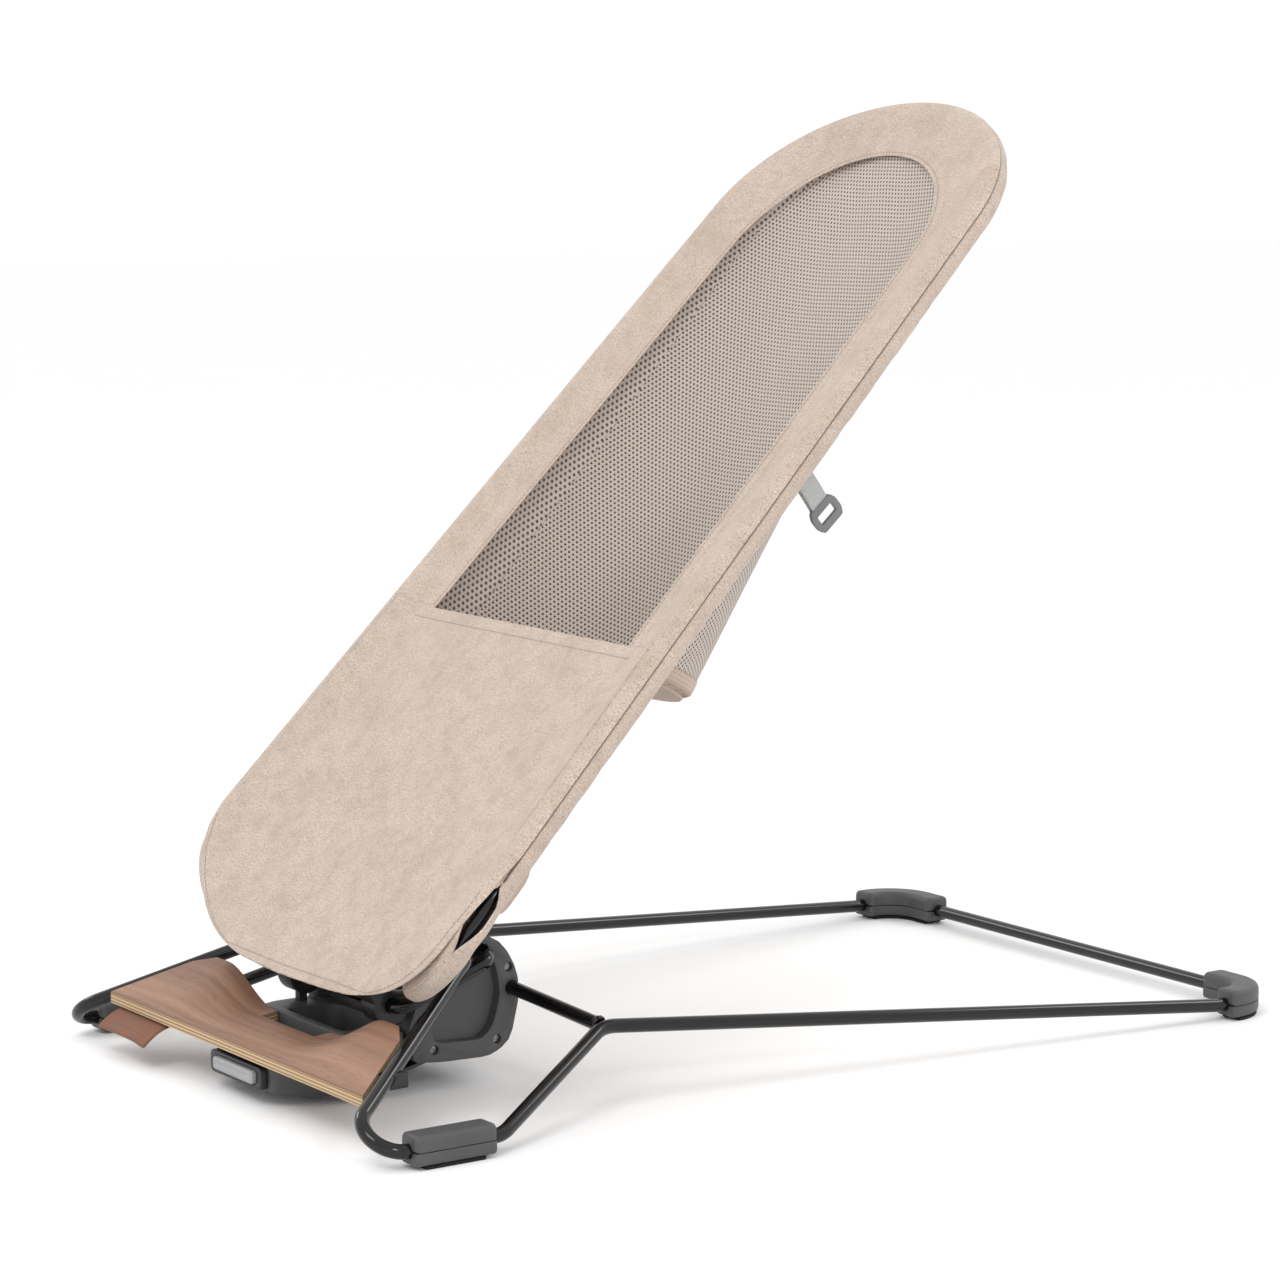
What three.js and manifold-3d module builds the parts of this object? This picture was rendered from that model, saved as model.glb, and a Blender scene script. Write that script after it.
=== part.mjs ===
// Baby bouncer seat: a bent-wire base with rubber-soled feet, a plywood foot board, a central hub
// with a release button, and a sling seat on its own tube frame that bounces and folds at the hub.
// Millimetres, +Z up, +Y towards the head end, +X to one side. The group is centred over its
// footprint, so its origin lies on the floor under the middle of the object's box.
import * as THREE from "three";
import { mergeVertices } from "three/addons/utils/BufferGeometryUtils.js";
import Module from "manifold-3d";

const wasm = await Module();
wasm.setup();

// ---------------------------------------------------------------- driving dimensions
const TUBE_D = 9.5; // steel tube of the base and the seat frame
const GAP = 0.3; // air between pieces that touch on the real object
const BORE_GAP = 0.35; // air between a tube and the plastic that holds it
const TUBE_SIDES = 10;
const BEND_STEP = 18; // degrees of bend per facet

// base frame
const BASE_HALF_WIDTH = 209.5; // tube axis to the middle plane, at the floor
const FLOOR_AXIS_Z = 11; // tube axis over the floor, at the feet
const REAR_Y = 655; // axis of the rear cross tube
const REAR_BEND_R = 30;
const SPLICE_INSET = 44.5; // side rail and rear cross tube meet inside the elbow, this far in from its corner
const SPLICE_X = BASE_HALF_WIDTH - SPLICE_INSET;
const FRONT_CORNER_Y = -105.5; // where the front arm's slope would meet the floor tube
const FRONT_BEND_R = 20;
const HUB_HALF_WIDTH = 66; // outer face of the hub covers
const ARM_TOP = { x: HUB_HALF_WIDTH + 21, y: 67, z: 91 }; // the front arm's bend beside the hub
const ARM_TOP_BEND_R = 11;
const KNEE = { x: 156.7, y: 125.7, z: 53.2 }; // top bend of the side rail, where the strut is welded
const KNEE_BEND_R = 26;
const RISE_Y = 16; // where the side rail leaves the floor
const RISE_BEND_R = 22;
const LEVEL_LENGTH = 43; // level stretch of the side rail before the rear corner
const STRUT_ROOT = { y: 115, z: 62.5 }; // where the strut enters the hub cover

// feet
const armRun = [BASE_HALF_WIDTH - ARM_TOP.x, FRONT_CORNER_Y - ARM_TOP.y, FLOOR_AXIS_Z - ARM_TOP.z];
const frontTurn = Math.acos(armRun[1] / Math.hypot(...armRun));
const FOOT_FRONT_Y = FRONT_CORNER_Y + FRONT_BEND_R * Math.tan(frontTurn / 2); // where the front bend ends
const FOOT_BACK_Y = 7;
const FOOT_WIDTH = 20;
const FOOT_TOP_Z = 21.5;
const PAD_H = 2.2; // rubber sole
const SPLIT_Z = FLOOR_AXIS_Z;
const ELBOW_SIDE_LENGTH = 36; // elbow cover's length along the side rail, from the corner
const ELBOW_REAR_LENGTH = 54; // and along the rear cross tube

// hub housing
const COVER_T = 11.5; // hub cover thickness
const TOWER_T = 8; // inner wall of each hub tower
const SHELL_T = 2.4;
const PART_Z = 26; // parting height of the housing's two shells
const SPINE_TOP_Z = 43; // level top of the spine, flush with the foot board
const POCKET = { halfWidth: 40, front: 3, back: 39, floor: 18, corner: 9 };
const SCREW_R = 2.9;
const SCREW_HEAD_H = 1.8;
const SCREW_DEPTH = 4.5;

// release button and latch
const BUTTON = { halfWidth: 26.5, bottom: 13.6, top: 22.4, front: -58, back: -44 };
const BUTTON_TRAVEL = 6;
const BEZEL = { halfWidth: 34, bottom: 10.6, top: 25.4, front: -55, back: -50.4 };
const BOLT_W = 6;
const ROD_T = 2.5;

// spring bail between the hub towers, which carries the seat saddles
const BAIL_X = HUB_HALF_WIDTH + 10;
const BAIL_TOP = { y: 94, z: 87 };
const BAIL_BAR = { y: 25, z: 62 };
const BAIL_BEND_R = 10;
const SADDLE_X = HUB_HALF_WIDTH - 11;
const SADDLE_W = 18;
const SADDLE_R = 9.5;
const INDEX_R = 13; // index disc on the saddle that the latch bolt holds
const SLOT_DEG = 46; // length of the disc's slot: the fold's travel and a little more

// foot board
const BOARD_FRONT_Y = -59.2;
const BOARD_BACK_Y = -3;
const BOARD_T = 8;
const BOARD_FRONT_Z = 37.7; // top face
const BOARD_MIDDLE_RISE = 5.2;
const BOARD_WING_RISE = 26.2;
const WING_START = 42;
const WING_END = 104;
const NOTCH = { halfWidth: 36, depth: 13, corner: 5 };

// seat frame, in the seat's own plane: x across, t along the rails upwards, n out of the seat's face
const SEAT_PITCH = 45.54; // degrees
const SEAT_ORIGIN = { y: 55.5, z: 170.5 };
const RAIL_HALF_WIDTH = 167.9; // tube axis at t = 0
const RAIL_TAPER = 0.05; // narrowing per mm of t
const SIDE_TOP_T = 541; // where the side rails end and the head arc begins
const HEAD_ARC_RISE = 100.7;
const HEAD_FACETS = 16;
const SIDE_BOTTOM_T = -30; // where the side rails begin to curl in
const CROSS_T = -95; // lower cross tube
const CROSS_N = -33;
const CROSS_HALF = 84; // straight length of the lower cross tube to each side
const FRAME_SPLICE_T = 120;

// cloth
const SLEEVE_R = 9.75;
const PANEL_T = 2.4;
const FLAP_T = -112; // hem of the front flap
const WINDOW = { bottom: 166, halfWidth: 120, top: 604, taper: 0.05, arc: 96 };
const MESH_T = 2.4;
const MESH_SAG = 108; // depth of the sling's hollow at the window's lower edge
const MESH_SAG_FALL = 0.24; // and how much shallower it gets per mm of t
const SLING_BOTTOM_T = 198;
const EDGE_DROP = 4.5; // the sling's edges hang this far behind the panel
const EDGE_LOW = 40; // and its lower corners reach this much further down than its middle
const POUCH_T = 3.2;
const POUCH_HALF_WIDTH = 140;
const POUCH_ROUTE = [[192, -103.5], [176, -72], [136, -50], [90, -46], [46, -60], [16, -74], [4, -60], [8, -40]];
const POUCH_LOBE = 26; // and beside the hub it hangs this much further down
const STRAP_T_POS = 322; // where the strap leaves the rail
const STRAP_W = 19;
const STRAP_THICK = 1.6;

const TUBE_R = TUBE_D / 2;
const BORE_R = TUBE_R + BORE_GAP;
const rad = THREE.MathUtils.degToRad;
const v3 = (x, y, z) => new THREE.Vector3(x, y, z);

// ---------------------------------------------------------------- finishes
const finish = (color, roughness, metalness = 0) => ({ color, roughness, metalness });
const FINISH = {
  tube: finish(0x111214, 0.22, 0.3),
  plastic: finish(0x4b4c4d, 0.55),
  darkPlastic: finish(0x232425, 0.5),
  rubber: finish(0x1b1b1c, 0.9),
  button: finish(0x9fa1a2, 0.4),
  steel: finish(0x8a8c8e, 0.35, 0.9),
  walnut: finish(0x8a6450, 0.5),
  leather: finish(0x7a4429, 0.6),
  cloth: finish(0xd8c7b8, 0.95),
  mesh: finish(0xb8aca2, 0.9),
  knit: finish(0xcdb39c, 0.95),
  webbing: finish(0xb5b5b3, 0.85),
};

const object = new THREE.Group();

function add(name, geometry, finishName) {
  const mesh = new THREE.Mesh(geometry, new THREE.MeshStandardMaterial(FINISH[finishName]));
  mesh.name = name;
  object.add(mesh);
  return mesh;
}

// ---------------------------------------------------------------- solids
function bare(geometry) {
  const g = geometry.clone();
  for (const name of Object.keys(g.attributes)) {
    if (name !== "position") g.deleteAttribute(name);
  }
  return mergeVertices(g, 1e-4);
}

function toSolid(geometry) {
  const g = bare(geometry);
  return new wasm.Manifold(new wasm.Mesh({
    numProp: 3,
    vertProperties: new Float32Array(g.attributes.position.array),
    triVerts: new Uint32Array(g.index.array),
  }));
}

function toGeometry(solid) {
  const mesh = solid.getMesh();
  const g = new THREE.BufferGeometry();
  g.setAttribute("position", new THREE.BufferAttribute(new Float32Array(mesh.vertProperties), 3));
  g.setIndex(new THREE.BufferAttribute(new Uint32Array(mesh.triVerts), 1));
  g.computeVertexNormals();
  return g;
}

function cut(geometry, ...tools) {
  let solid = toSolid(geometry);
  for (const tool of tools) solid = solid.subtract(toSolid(tool));
  return toGeometry(solid);
}

function join(geometry, ...others) {
  let solid = toSolid(geometry);
  for (const other of others) solid = solid.add(toSolid(other));
  return toGeometry(solid);
}

function common(geometry, other) {
  return toGeometry(toSolid(geometry).intersect(toSolid(other)));
}

function mirrored(geometry) {
  const g = bare(geometry);
  g.scale(-1, 1, 1);
  const index = g.index.array;
  for (let i = 0; i < index.length; i += 3) [index[i], index[i + 1]] = [index[i + 1], index[i]];
  g.computeVertexNormals();
  return g;
}

// one piece on each side: the geometry is made for +X and mirrored for -X
function addPair(name, geometry, finishName) {
  add(`right_${name}`, geometry, finishName);
  add(`left_${name}`, mirrored(geometry), finishName);
}

function boxBetween(x0, x1, y0, y1, z0, z1) {
  const g = new THREE.BoxGeometry(x1 - x0, y1 - y0, z1 - z0);
  g.translate((x0 + x1) / 2, (y0 + y1) / 2, (z0 + z1) / 2);
  return g;
}

// closed outline with its corners rounded to the given radius (one number, or one per corner)
function outline(points, radius) {
  const shape = new THREE.Shape();
  const count = points.length;
  points.forEach(([x, y], i) => {
    const [px, py] = points[(i + count - 1) % count];
    const [qx, qy] = points[(i + 1) % count];
    const inLength = Math.hypot(px - x, py - y);
    const outLength = Math.hypot(qx - x, qy - y);
    const wanted = Array.isArray(radius) ? radius[i] : radius;
    const r = Math.min(wanted, inLength * 0.45, outLength * 0.45);
    const a = [x + ((px - x) / inLength) * r, y + ((py - y) / inLength) * r];
    const b = [x + ((qx - x) / outLength) * r, y + ((qy - y) / outLength) * r];
    if (i === 0) shape.moveTo(...a);
    else shape.lineTo(...a);
    if (r > 0) shape.quadraticCurveTo(x, y, ...b);
  });
  shape.closePath();
  return shape;
}

// extrusion of a (y, z) outline along X
function prismX(shape, x0, x1, curveSegments = 2) {
  const g = new THREE.ExtrudeGeometry(shape, { depth: x1 - x0, bevelEnabled: false, curveSegments });
  g.applyMatrix4(new THREE.Matrix4().set(0, 0, 1, x0, 1, 0, 0, 0, 0, 1, 0, 0, 0, 0, 0, 1));
  return g;
}

// extrusion of an (x, y) outline along Z
function prismZ(shape, z0, z1, curveSegments = 3) {
  const g = new THREE.ExtrudeGeometry(shape, { depth: z1 - z0, bevelEnabled: false, curveSegments });
  g.translate(0, 0, z0);
  return g;
}

// extrusion of an (x, z) outline along Y
function prismY(shape, y0, y1, curveSegments = 3) {
  const g = new THREE.ExtrudeGeometry(shape, { depth: y1 - y0, bevelEnabled: false, curveSegments });
  g.applyMatrix4(new THREE.Matrix4().set(1, 0, 0, 0, 0, 0, -1, y1, 0, 1, 0, 0, 0, 0, 0, 1));
  return g;
}

// cylinder along X
function discX(x0, x1, y, z, r, segments = 16) {
  const g = new THREE.CylinderGeometry(r, r, x1 - x0, segments);
  g.rotateZ(Math.PI / 2);
  g.translate((x0 + x1) / 2, y, z);
  return g;
}

// a path through fixed stations, so that straight runs take one step and bends take many
class StationPath extends THREE.Curve {
  constructor(points) {
    super();
    this.points = points;
  }

  getPointAt(u, target = new THREE.Vector3()) {
    const k = u * (this.points.length - 1);
    const i = Math.min(Math.floor(k + 1e-9), this.points.length - 2);
    return target.copy(this.points[i]).lerp(this.points[i + 1], k - i);
  }

  getPoint(t, target) {
    return this.getPointAt(t, target);
  }

  getTangentAt(u, target = new THREE.Vector3()) {
    const i = Math.round(u * (this.points.length - 1));
    const last = this.points.length - 1;
    const before = this.points[Math.max(i - 1, 0)];
    const here = this.points[i];
    const after = this.points[Math.min(i + 1, last)];
    target.set(0, 0, 0);
    if (i > 0) target.add(here.clone().sub(before).normalize());
    if (i < last) target.add(after.clone().sub(here).normalize());
    return target.normalize();
  }
}

// corner points with a bend radius each become stations along straights and arcs
function bentPath(corners, radii) {
  const stations = [corners[0]];
  for (let i = 1; i < corners.length - 1; i++) {
    const p = corners[i];
    const back = corners[i - 1].clone().sub(p).normalize();
    const ahead = corners[i + 1].clone().sub(p).normalize();
    const turn = Math.PI - back.angleTo(ahead);
    const r = radii[i - 1];
    const tangent = r * Math.tan(turn / 2);
    const centre = p.clone().addScaledVector(back.clone().add(ahead).normalize(), r / Math.cos(turn / 2));
    const start = p.clone().addScaledVector(back, tangent).sub(centre);
    const side = back.clone().negate();
    const steps = Math.max(2, Math.ceil(THREE.MathUtils.radToDeg(turn) / BEND_STEP));
    for (let k = 0; k <= steps; k++) {
      const a = (turn * k) / steps;
      stations.push(centre.clone().addScaledVector(start, Math.cos(a)).addScaledVector(side, r * Math.sin(a)));
    }
  }
  stations.push(corners[corners.length - 1]);
  return stations;
}

function circleShape(r, sides) {
  const points = [];
  for (let i = 0; i < sides; i++) {
    const a = (2 * Math.PI * i) / sides;
    points.push(new THREE.Vector2(r * Math.cos(a), r * Math.sin(a)));
  }
  return new THREE.Shape(points);
}

function sweep(shape, stations) {
  return new THREE.ExtrudeGeometry(shape, {
    steps: stations.length - 1, bevelEnabled: false, extrudePath: new StationPath(stations), curveSegments: 4,
  });
}

const tube = (stations, r = TUBE_R, sides = TUBE_SIDES) => sweep(circleShape(r, sides), stations);

// a sheet of cloth with a thickness: point(u, v) is its middle surface, u and v from 0 to 1
function sheet(point, thickness, columns, rows) {
  const g = bare(new THREE.BoxGeometry(1, 1, 1, columns, rows, 1));
  const position = g.attributes.position;
  const step = 1e-3;
  for (let i = 0; i < position.count; i++) {
    const u = position.getX(i) + 0.5;
    const v = position.getY(i) + 0.5;
    const here = point(u, v);
    const across = point(Math.min(u + step, 1), v).sub(point(Math.max(u - step, 0), v));
    const along = point(u, Math.min(v + step, 1)).sub(point(u, Math.max(v - step, 0)));
    const normal = across.cross(along).normalize();
    here.addScaledVector(normal, position.getZ(i) * thickness);
    position.setXYZ(i, here.x, here.y, here.z);
  }
  g.computeVertexNormals();
  return g;
}

const smooth = (x, a, b) => THREE.MathUtils.smoothstep(x, a, b);

// ---------------------------------------------------------------- base frame
const FRONT_CORNER = v3(BASE_HALF_WIDTH, FRONT_CORNER_Y, FLOOR_AXIS_Z);
const FOOT_MID_Y = (FOOT_FRONT_Y + FOOT_BACK_Y) / 2;
const coverInnerX = HUB_HALF_WIDTH - COVER_T;

const frontArmPath = bentPath(
  [
    v3(coverInnerX + 3, ARM_TOP.y, ARM_TOP.z),
    v3(ARM_TOP.x, ARM_TOP.y, ARM_TOP.z),
    FRONT_CORNER,
    v3(BASE_HALF_WIDTH, FOOT_MID_Y - GAP, FLOOR_AXIS_Z),
  ],
  [ARM_TOP_BEND_R, FRONT_BEND_R],
);

const REAR_CORNER = v3(BASE_HALF_WIDTH, REAR_Y, FLOOR_AXIS_Z);
const knee = v3(KNEE.x, KNEE.y, KNEE.z);
const levelStart = v3(BASE_HALF_WIDTH - 3.4, REAR_Y - LEVEL_LENGTH, FLOOR_AXIS_Z);
const sideRailPath = bentPath(
  [
    v3(BASE_HALF_WIDTH, FOOT_MID_Y + GAP, FLOOR_AXIS_Z),
    v3(BASE_HALF_WIDTH, RISE_Y, FLOOR_AXIS_Z),
    knee,
    levelStart,
    REAR_CORNER,
    v3(SPLICE_X, REAR_Y, FLOOR_AXIS_Z),
  ],
  [RISE_BEND_R, KNEE_BEND_R, 60, REAR_BEND_R],
);

const strutPath = [v3(coverInnerX + 3, STRUT_ROOT.y - 1, STRUT_ROOT.z + 1), knee];

function addBaseFrame() {
  addPair("front_arm", tube(frontArmPath), "tube");
  const rail = tube(sideRailPath);
  addPair("side_rail", rail, "tube");
  addPair("strut", cut(tube(strutPath), tube(sideRailPath, TUBE_R + GAP)), "tube");
  const rearX = SPLICE_X - GAP * 2;
  add("rear_cross_tube", tube([v3(-rearX, REAR_Y, FLOOR_AXIS_Z), v3(rearX, REAR_Y, FLOOR_AXIS_Z)]), "tube");
}

// half of a foot's section, as (across, up) from the tube axis, above or below the parting plane
function footHalf(up, height, cornerR) {
  const w = FOOT_WIDTH / 2;
  const s = up ? 1 : -1;
  const parting = (s * GAP) / 2;
  const shape = new THREE.Shape();
  shape.moveTo(-w, parting);
  shape.lineTo(-w, s * (height - cornerR));
  shape.quadraticCurveTo(-w, s * height, -w + cornerR, s * height);
  shape.lineTo(w - cornerR, s * height);
  shape.quadraticCurveTo(w, s * height, w, s * (height - cornerR));
  shape.lineTo(w, parting);
  const start = Math.asin((GAP / 2) / BORE_R);
  const sides = 6;
  for (let i = 0; i <= sides; i++) {
    const a = start + ((Math.PI - 2 * start) * i) / sides;
    shape.lineTo(BORE_R * Math.cos(a), s * BORE_R * Math.sin(a));
  }
  shape.closePath();
  return shape;
}

// (across, up) in the section becomes (-up, -across), which is how a sweep along +Y sets it level
function levelSection(shape) {
  return new THREE.Shape(shape.getPoints(2).map((p) => new THREE.Vector2(-p.y, -p.x)));
}

function addFeet() {
  const upperH = FOOT_TOP_Z - SPLIT_Z;
  const lowerH = SPLIT_Z - PAD_H - GAP;
  const upper = footHalf(true, upperH, 5);
  const lower = footHalf(false, lowerH, 2.5);
  const padShape = outline([[-8.6, -SPLIT_Z], [8.6, -SPLIT_Z], [8.6, PAD_H - SPLIT_Z], [-8.6, PAD_H - SPLIT_Z]], 0.8);

  const footPlace = (shape, y0, y1) => {
    const g = prismY(shape, y0, y1);
    g.translate(BASE_HALF_WIDTH, 0, FLOOR_AXIS_Z);
    return g;
  };
  addPair("front_foot_upper", footPlace(upper, FOOT_FRONT_Y, FOOT_BACK_Y), "plastic");
  addPair("front_foot_lower", footPlace(lower, FOOT_FRONT_Y, FOOT_BACK_Y), "plastic");
  addPair("front_foot_sole", footPlace(padShape, FOOT_FRONT_Y + 2, FOOT_BACK_Y - 2), "rubber");

  const along = REAR_CORNER.clone().sub(levelStart).normalize();
  const elbowPath = bentPath(
    [
      REAR_CORNER.clone().addScaledVector(along, -ELBOW_SIDE_LENGTH),
      REAR_CORNER,
      v3(BASE_HALF_WIDTH - ELBOW_REAR_LENGTH, REAR_Y, FLOOR_AXIS_Z),
    ],
    [REAR_BEND_R],
  );
  addPair("rear_elbow_upper", sweep(levelSection(upper), elbowPath), "plastic");
  addPair("rear_elbow_lower", sweep(levelSection(lower), elbowPath), "plastic");
  addPair("rear_elbow_sole", sweep(levelSection(padShape), elbowPath), "rubber");
}

// ---------------------------------------------------------------- foot board
const slopeDirection = FRONT_CORNER.clone().sub(v3(ARM_TOP.x, ARM_TOP.y, ARM_TOP.z)).normalize();
const armXAt = (y) => FRONT_CORNER.x + (slopeDirection.x / slopeDirection.y) * (y - FRONT_CORNER.y);
const boardClear = (TUBE_R + GAP * 2) / Math.hypot(slopeDirection.y, slopeDirection.z) + 0.8;
const boardHalfWidth = (y) => armXAt(y) - boardClear;

function boardTop(x, y) {
  const along = (y - BOARD_FRONT_Y) / (BOARD_BACK_Y - BOARD_FRONT_Y);
  const wing = smooth(Math.abs(x), WING_START, WING_END);
  return BOARD_FRONT_Z + along * (BOARD_MIDDLE_RISE + (BOARD_WING_RISE - BOARD_MIDDLE_RISE) * wing);
}

function addBoard() {
  const g = bare(new THREE.BoxGeometry(2, 1, 1, 26, 1, 1));
  const position = g.attributes.position;
  for (let i = 0; i < position.count; i++) {
    const y = THREE.MathUtils.lerp(BOARD_FRONT_Y, BOARD_BACK_Y, position.getY(i) + 0.5);
    const x = position.getX(i) * boardHalfWidth(y);
    position.setXYZ(i, x, y, boardTop(x, y) - (0.5 - position.getZ(i)) * BOARD_T);
  }
  const notch = outline(
    [
      [-NOTCH.halfWidth, BOARD_BACK_Y + 5],
      [-NOTCH.halfWidth, BOARD_BACK_Y - NOTCH.depth],
      [NOTCH.halfWidth, BOARD_BACK_Y - NOTCH.depth],
      [NOTCH.halfWidth, BOARD_BACK_Y + 5],
    ],
    [0, NOTCH.corner, NOTCH.corner, 0],
  );
  const corner = outline(
    [[boardHalfWidth(BOARD_BACK_Y) - 9, BOARD_BACK_Y + 9], [boardHalfWidth(BOARD_BACK_Y) + 9, BOARD_BACK_Y - 9],
      [boardHalfWidth(BOARD_BACK_Y) + 20, BOARD_BACK_Y + 20]],
    0,
  );
  const cornerCut = prismZ(corner, 0, 120);
  add("foot_board", cut(g, prismZ(notch, 0, 120), cornerCut, mirrored(cornerCut)), "walnut");

  // a leather tag sewn under the front edge
  const tagTopY = BOARD_FRONT_Y + 8;
  const tagTopZ = BOARD_FRONT_Z - BOARD_T - 1.2;
  const tag = sheet(
    (u, v) => v3(-158 + 66 * u, tagTopY - 23 * v, tagTopZ - 11 * v * v),
    1.6, 6, 4,
  );
  add("leather_tag", tag, "leather");

  // a clip under each wing cradles the front arm
  const clipY = (BOARD_FRONT_Y + BOARD_BACK_Y) / 2;
  const clipX = armXAt(clipY);
  const armZ = FRONT_CORNER.z + (slopeDirection.z / slopeDirection.y) * (clipY - FRONT_CORNER.y);
  const clip = boxBetween(clipX - 30, clipX + 7, clipY - 8, clipY + 8, armZ - 9, armZ + 0.5);
  const arm = tube(frontArmPath, BORE_R);
  const boardSpace = g.clone();
  boardSpace.translate(0, 0, -GAP - 0.1);
  addPair("board_clip", cut(clip, arm, boardSpace), "darkPlastic");
}

// ---------------------------------------------------------------- hub housing
function boardUnder(y) {
  // height of the board's underside in the middle
  return BOARD_FRONT_Z - BOARD_T + (BOARD_MIDDLE_RISE * (y - BOARD_FRONT_Y)) / (BOARD_BACK_Y - BOARD_FRONT_Y);
}

const SPINE_PROFILE = [
  [-50, 9], [-26, 5], [18, 7.5], [62, 19.5], [110, 20], [117, 30], [117, 50], [110, 56], [50, 56], [45, SPINE_TOP_Z],
  [BOARD_BACK_Y + GAP, SPINE_TOP_Z], [BOARD_BACK_Y + GAP, boardUnder(BOARD_BACK_Y) - 1.3],
  [-50, boardUnder(-50) - 1.95],
];
const SPINE_RADII = [3, 3, 3, 3, 3, 3, 3, 3, 3, 3, 1, 0, 3];
const SPINE_INSET = [
  [-47.5, 12], [-26, 8], [18, 10.3], [62, 22.4], [108, 22.6], [114, 31], [114, 49], [108.8, 53], [52.3, 53],
  [47.5, SPINE_TOP_Z - SHELL_T], [BOARD_BACK_Y + GAP + 3, SPINE_TOP_Z - SHELL_T], [BOARD_BACK_Y + GAP + 3, boardUnder(BOARD_BACK_Y) - 3.9],
  [-47.5, boardUnder(-50) - 4.35],
];
const SPINE_SIDE = HUB_HALF_WIDTH - 4;
const SPINE_PLAN = [
  [-38, -50], [38, -50], [SPINE_SIDE, 8], [SPINE_SIDE, 70], [SPINE_SIDE - 10, 117], [10 - SPINE_SIDE, 117], [-SPINE_SIDE, 70],
  [-SPINE_SIDE, 8],
];
const POD_PROFILE = [
  [40, 22.5], [60, 20], [98, 19], [113.5, 27], [121.5, 60], [117.5, 78], [106, 95.5], [88, 102.5], [66, 103],
  [56, 92], [42, 60], [36, 44],
];
const POD_RADII = [3, 6, 6, 12, 12, 8, 10, 8, 8, 8, 8, 4];
const RECESS_PROFILE = [
  [54, 33], [92, 31], [100, 39], [106.5, 60], [103, 77], [97, 95], [82, 96.5], [74, 82], [66, 80], [52, 60],
];
const towerOuterX = coverInnerX - GAP;
const towerInnerX = towerOuterX - TOWER_T;
const COVER_SCREWS = [[112.5, 76.5], [103.5, 29.5], [55.5, 28.5]];

function planLimit(inset, z0, z1) {
  const points = SPINE_PLAN.map(([x, y]) => {
    const sx = Math.sign(x) * (Math.abs(x) - inset);
    const sy = y < 0 ? y + inset : y > 100 ? y - inset : y;
    return [sx, sy];
  });
  return prismZ(outline(points, 6), z0, z1);
}

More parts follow.
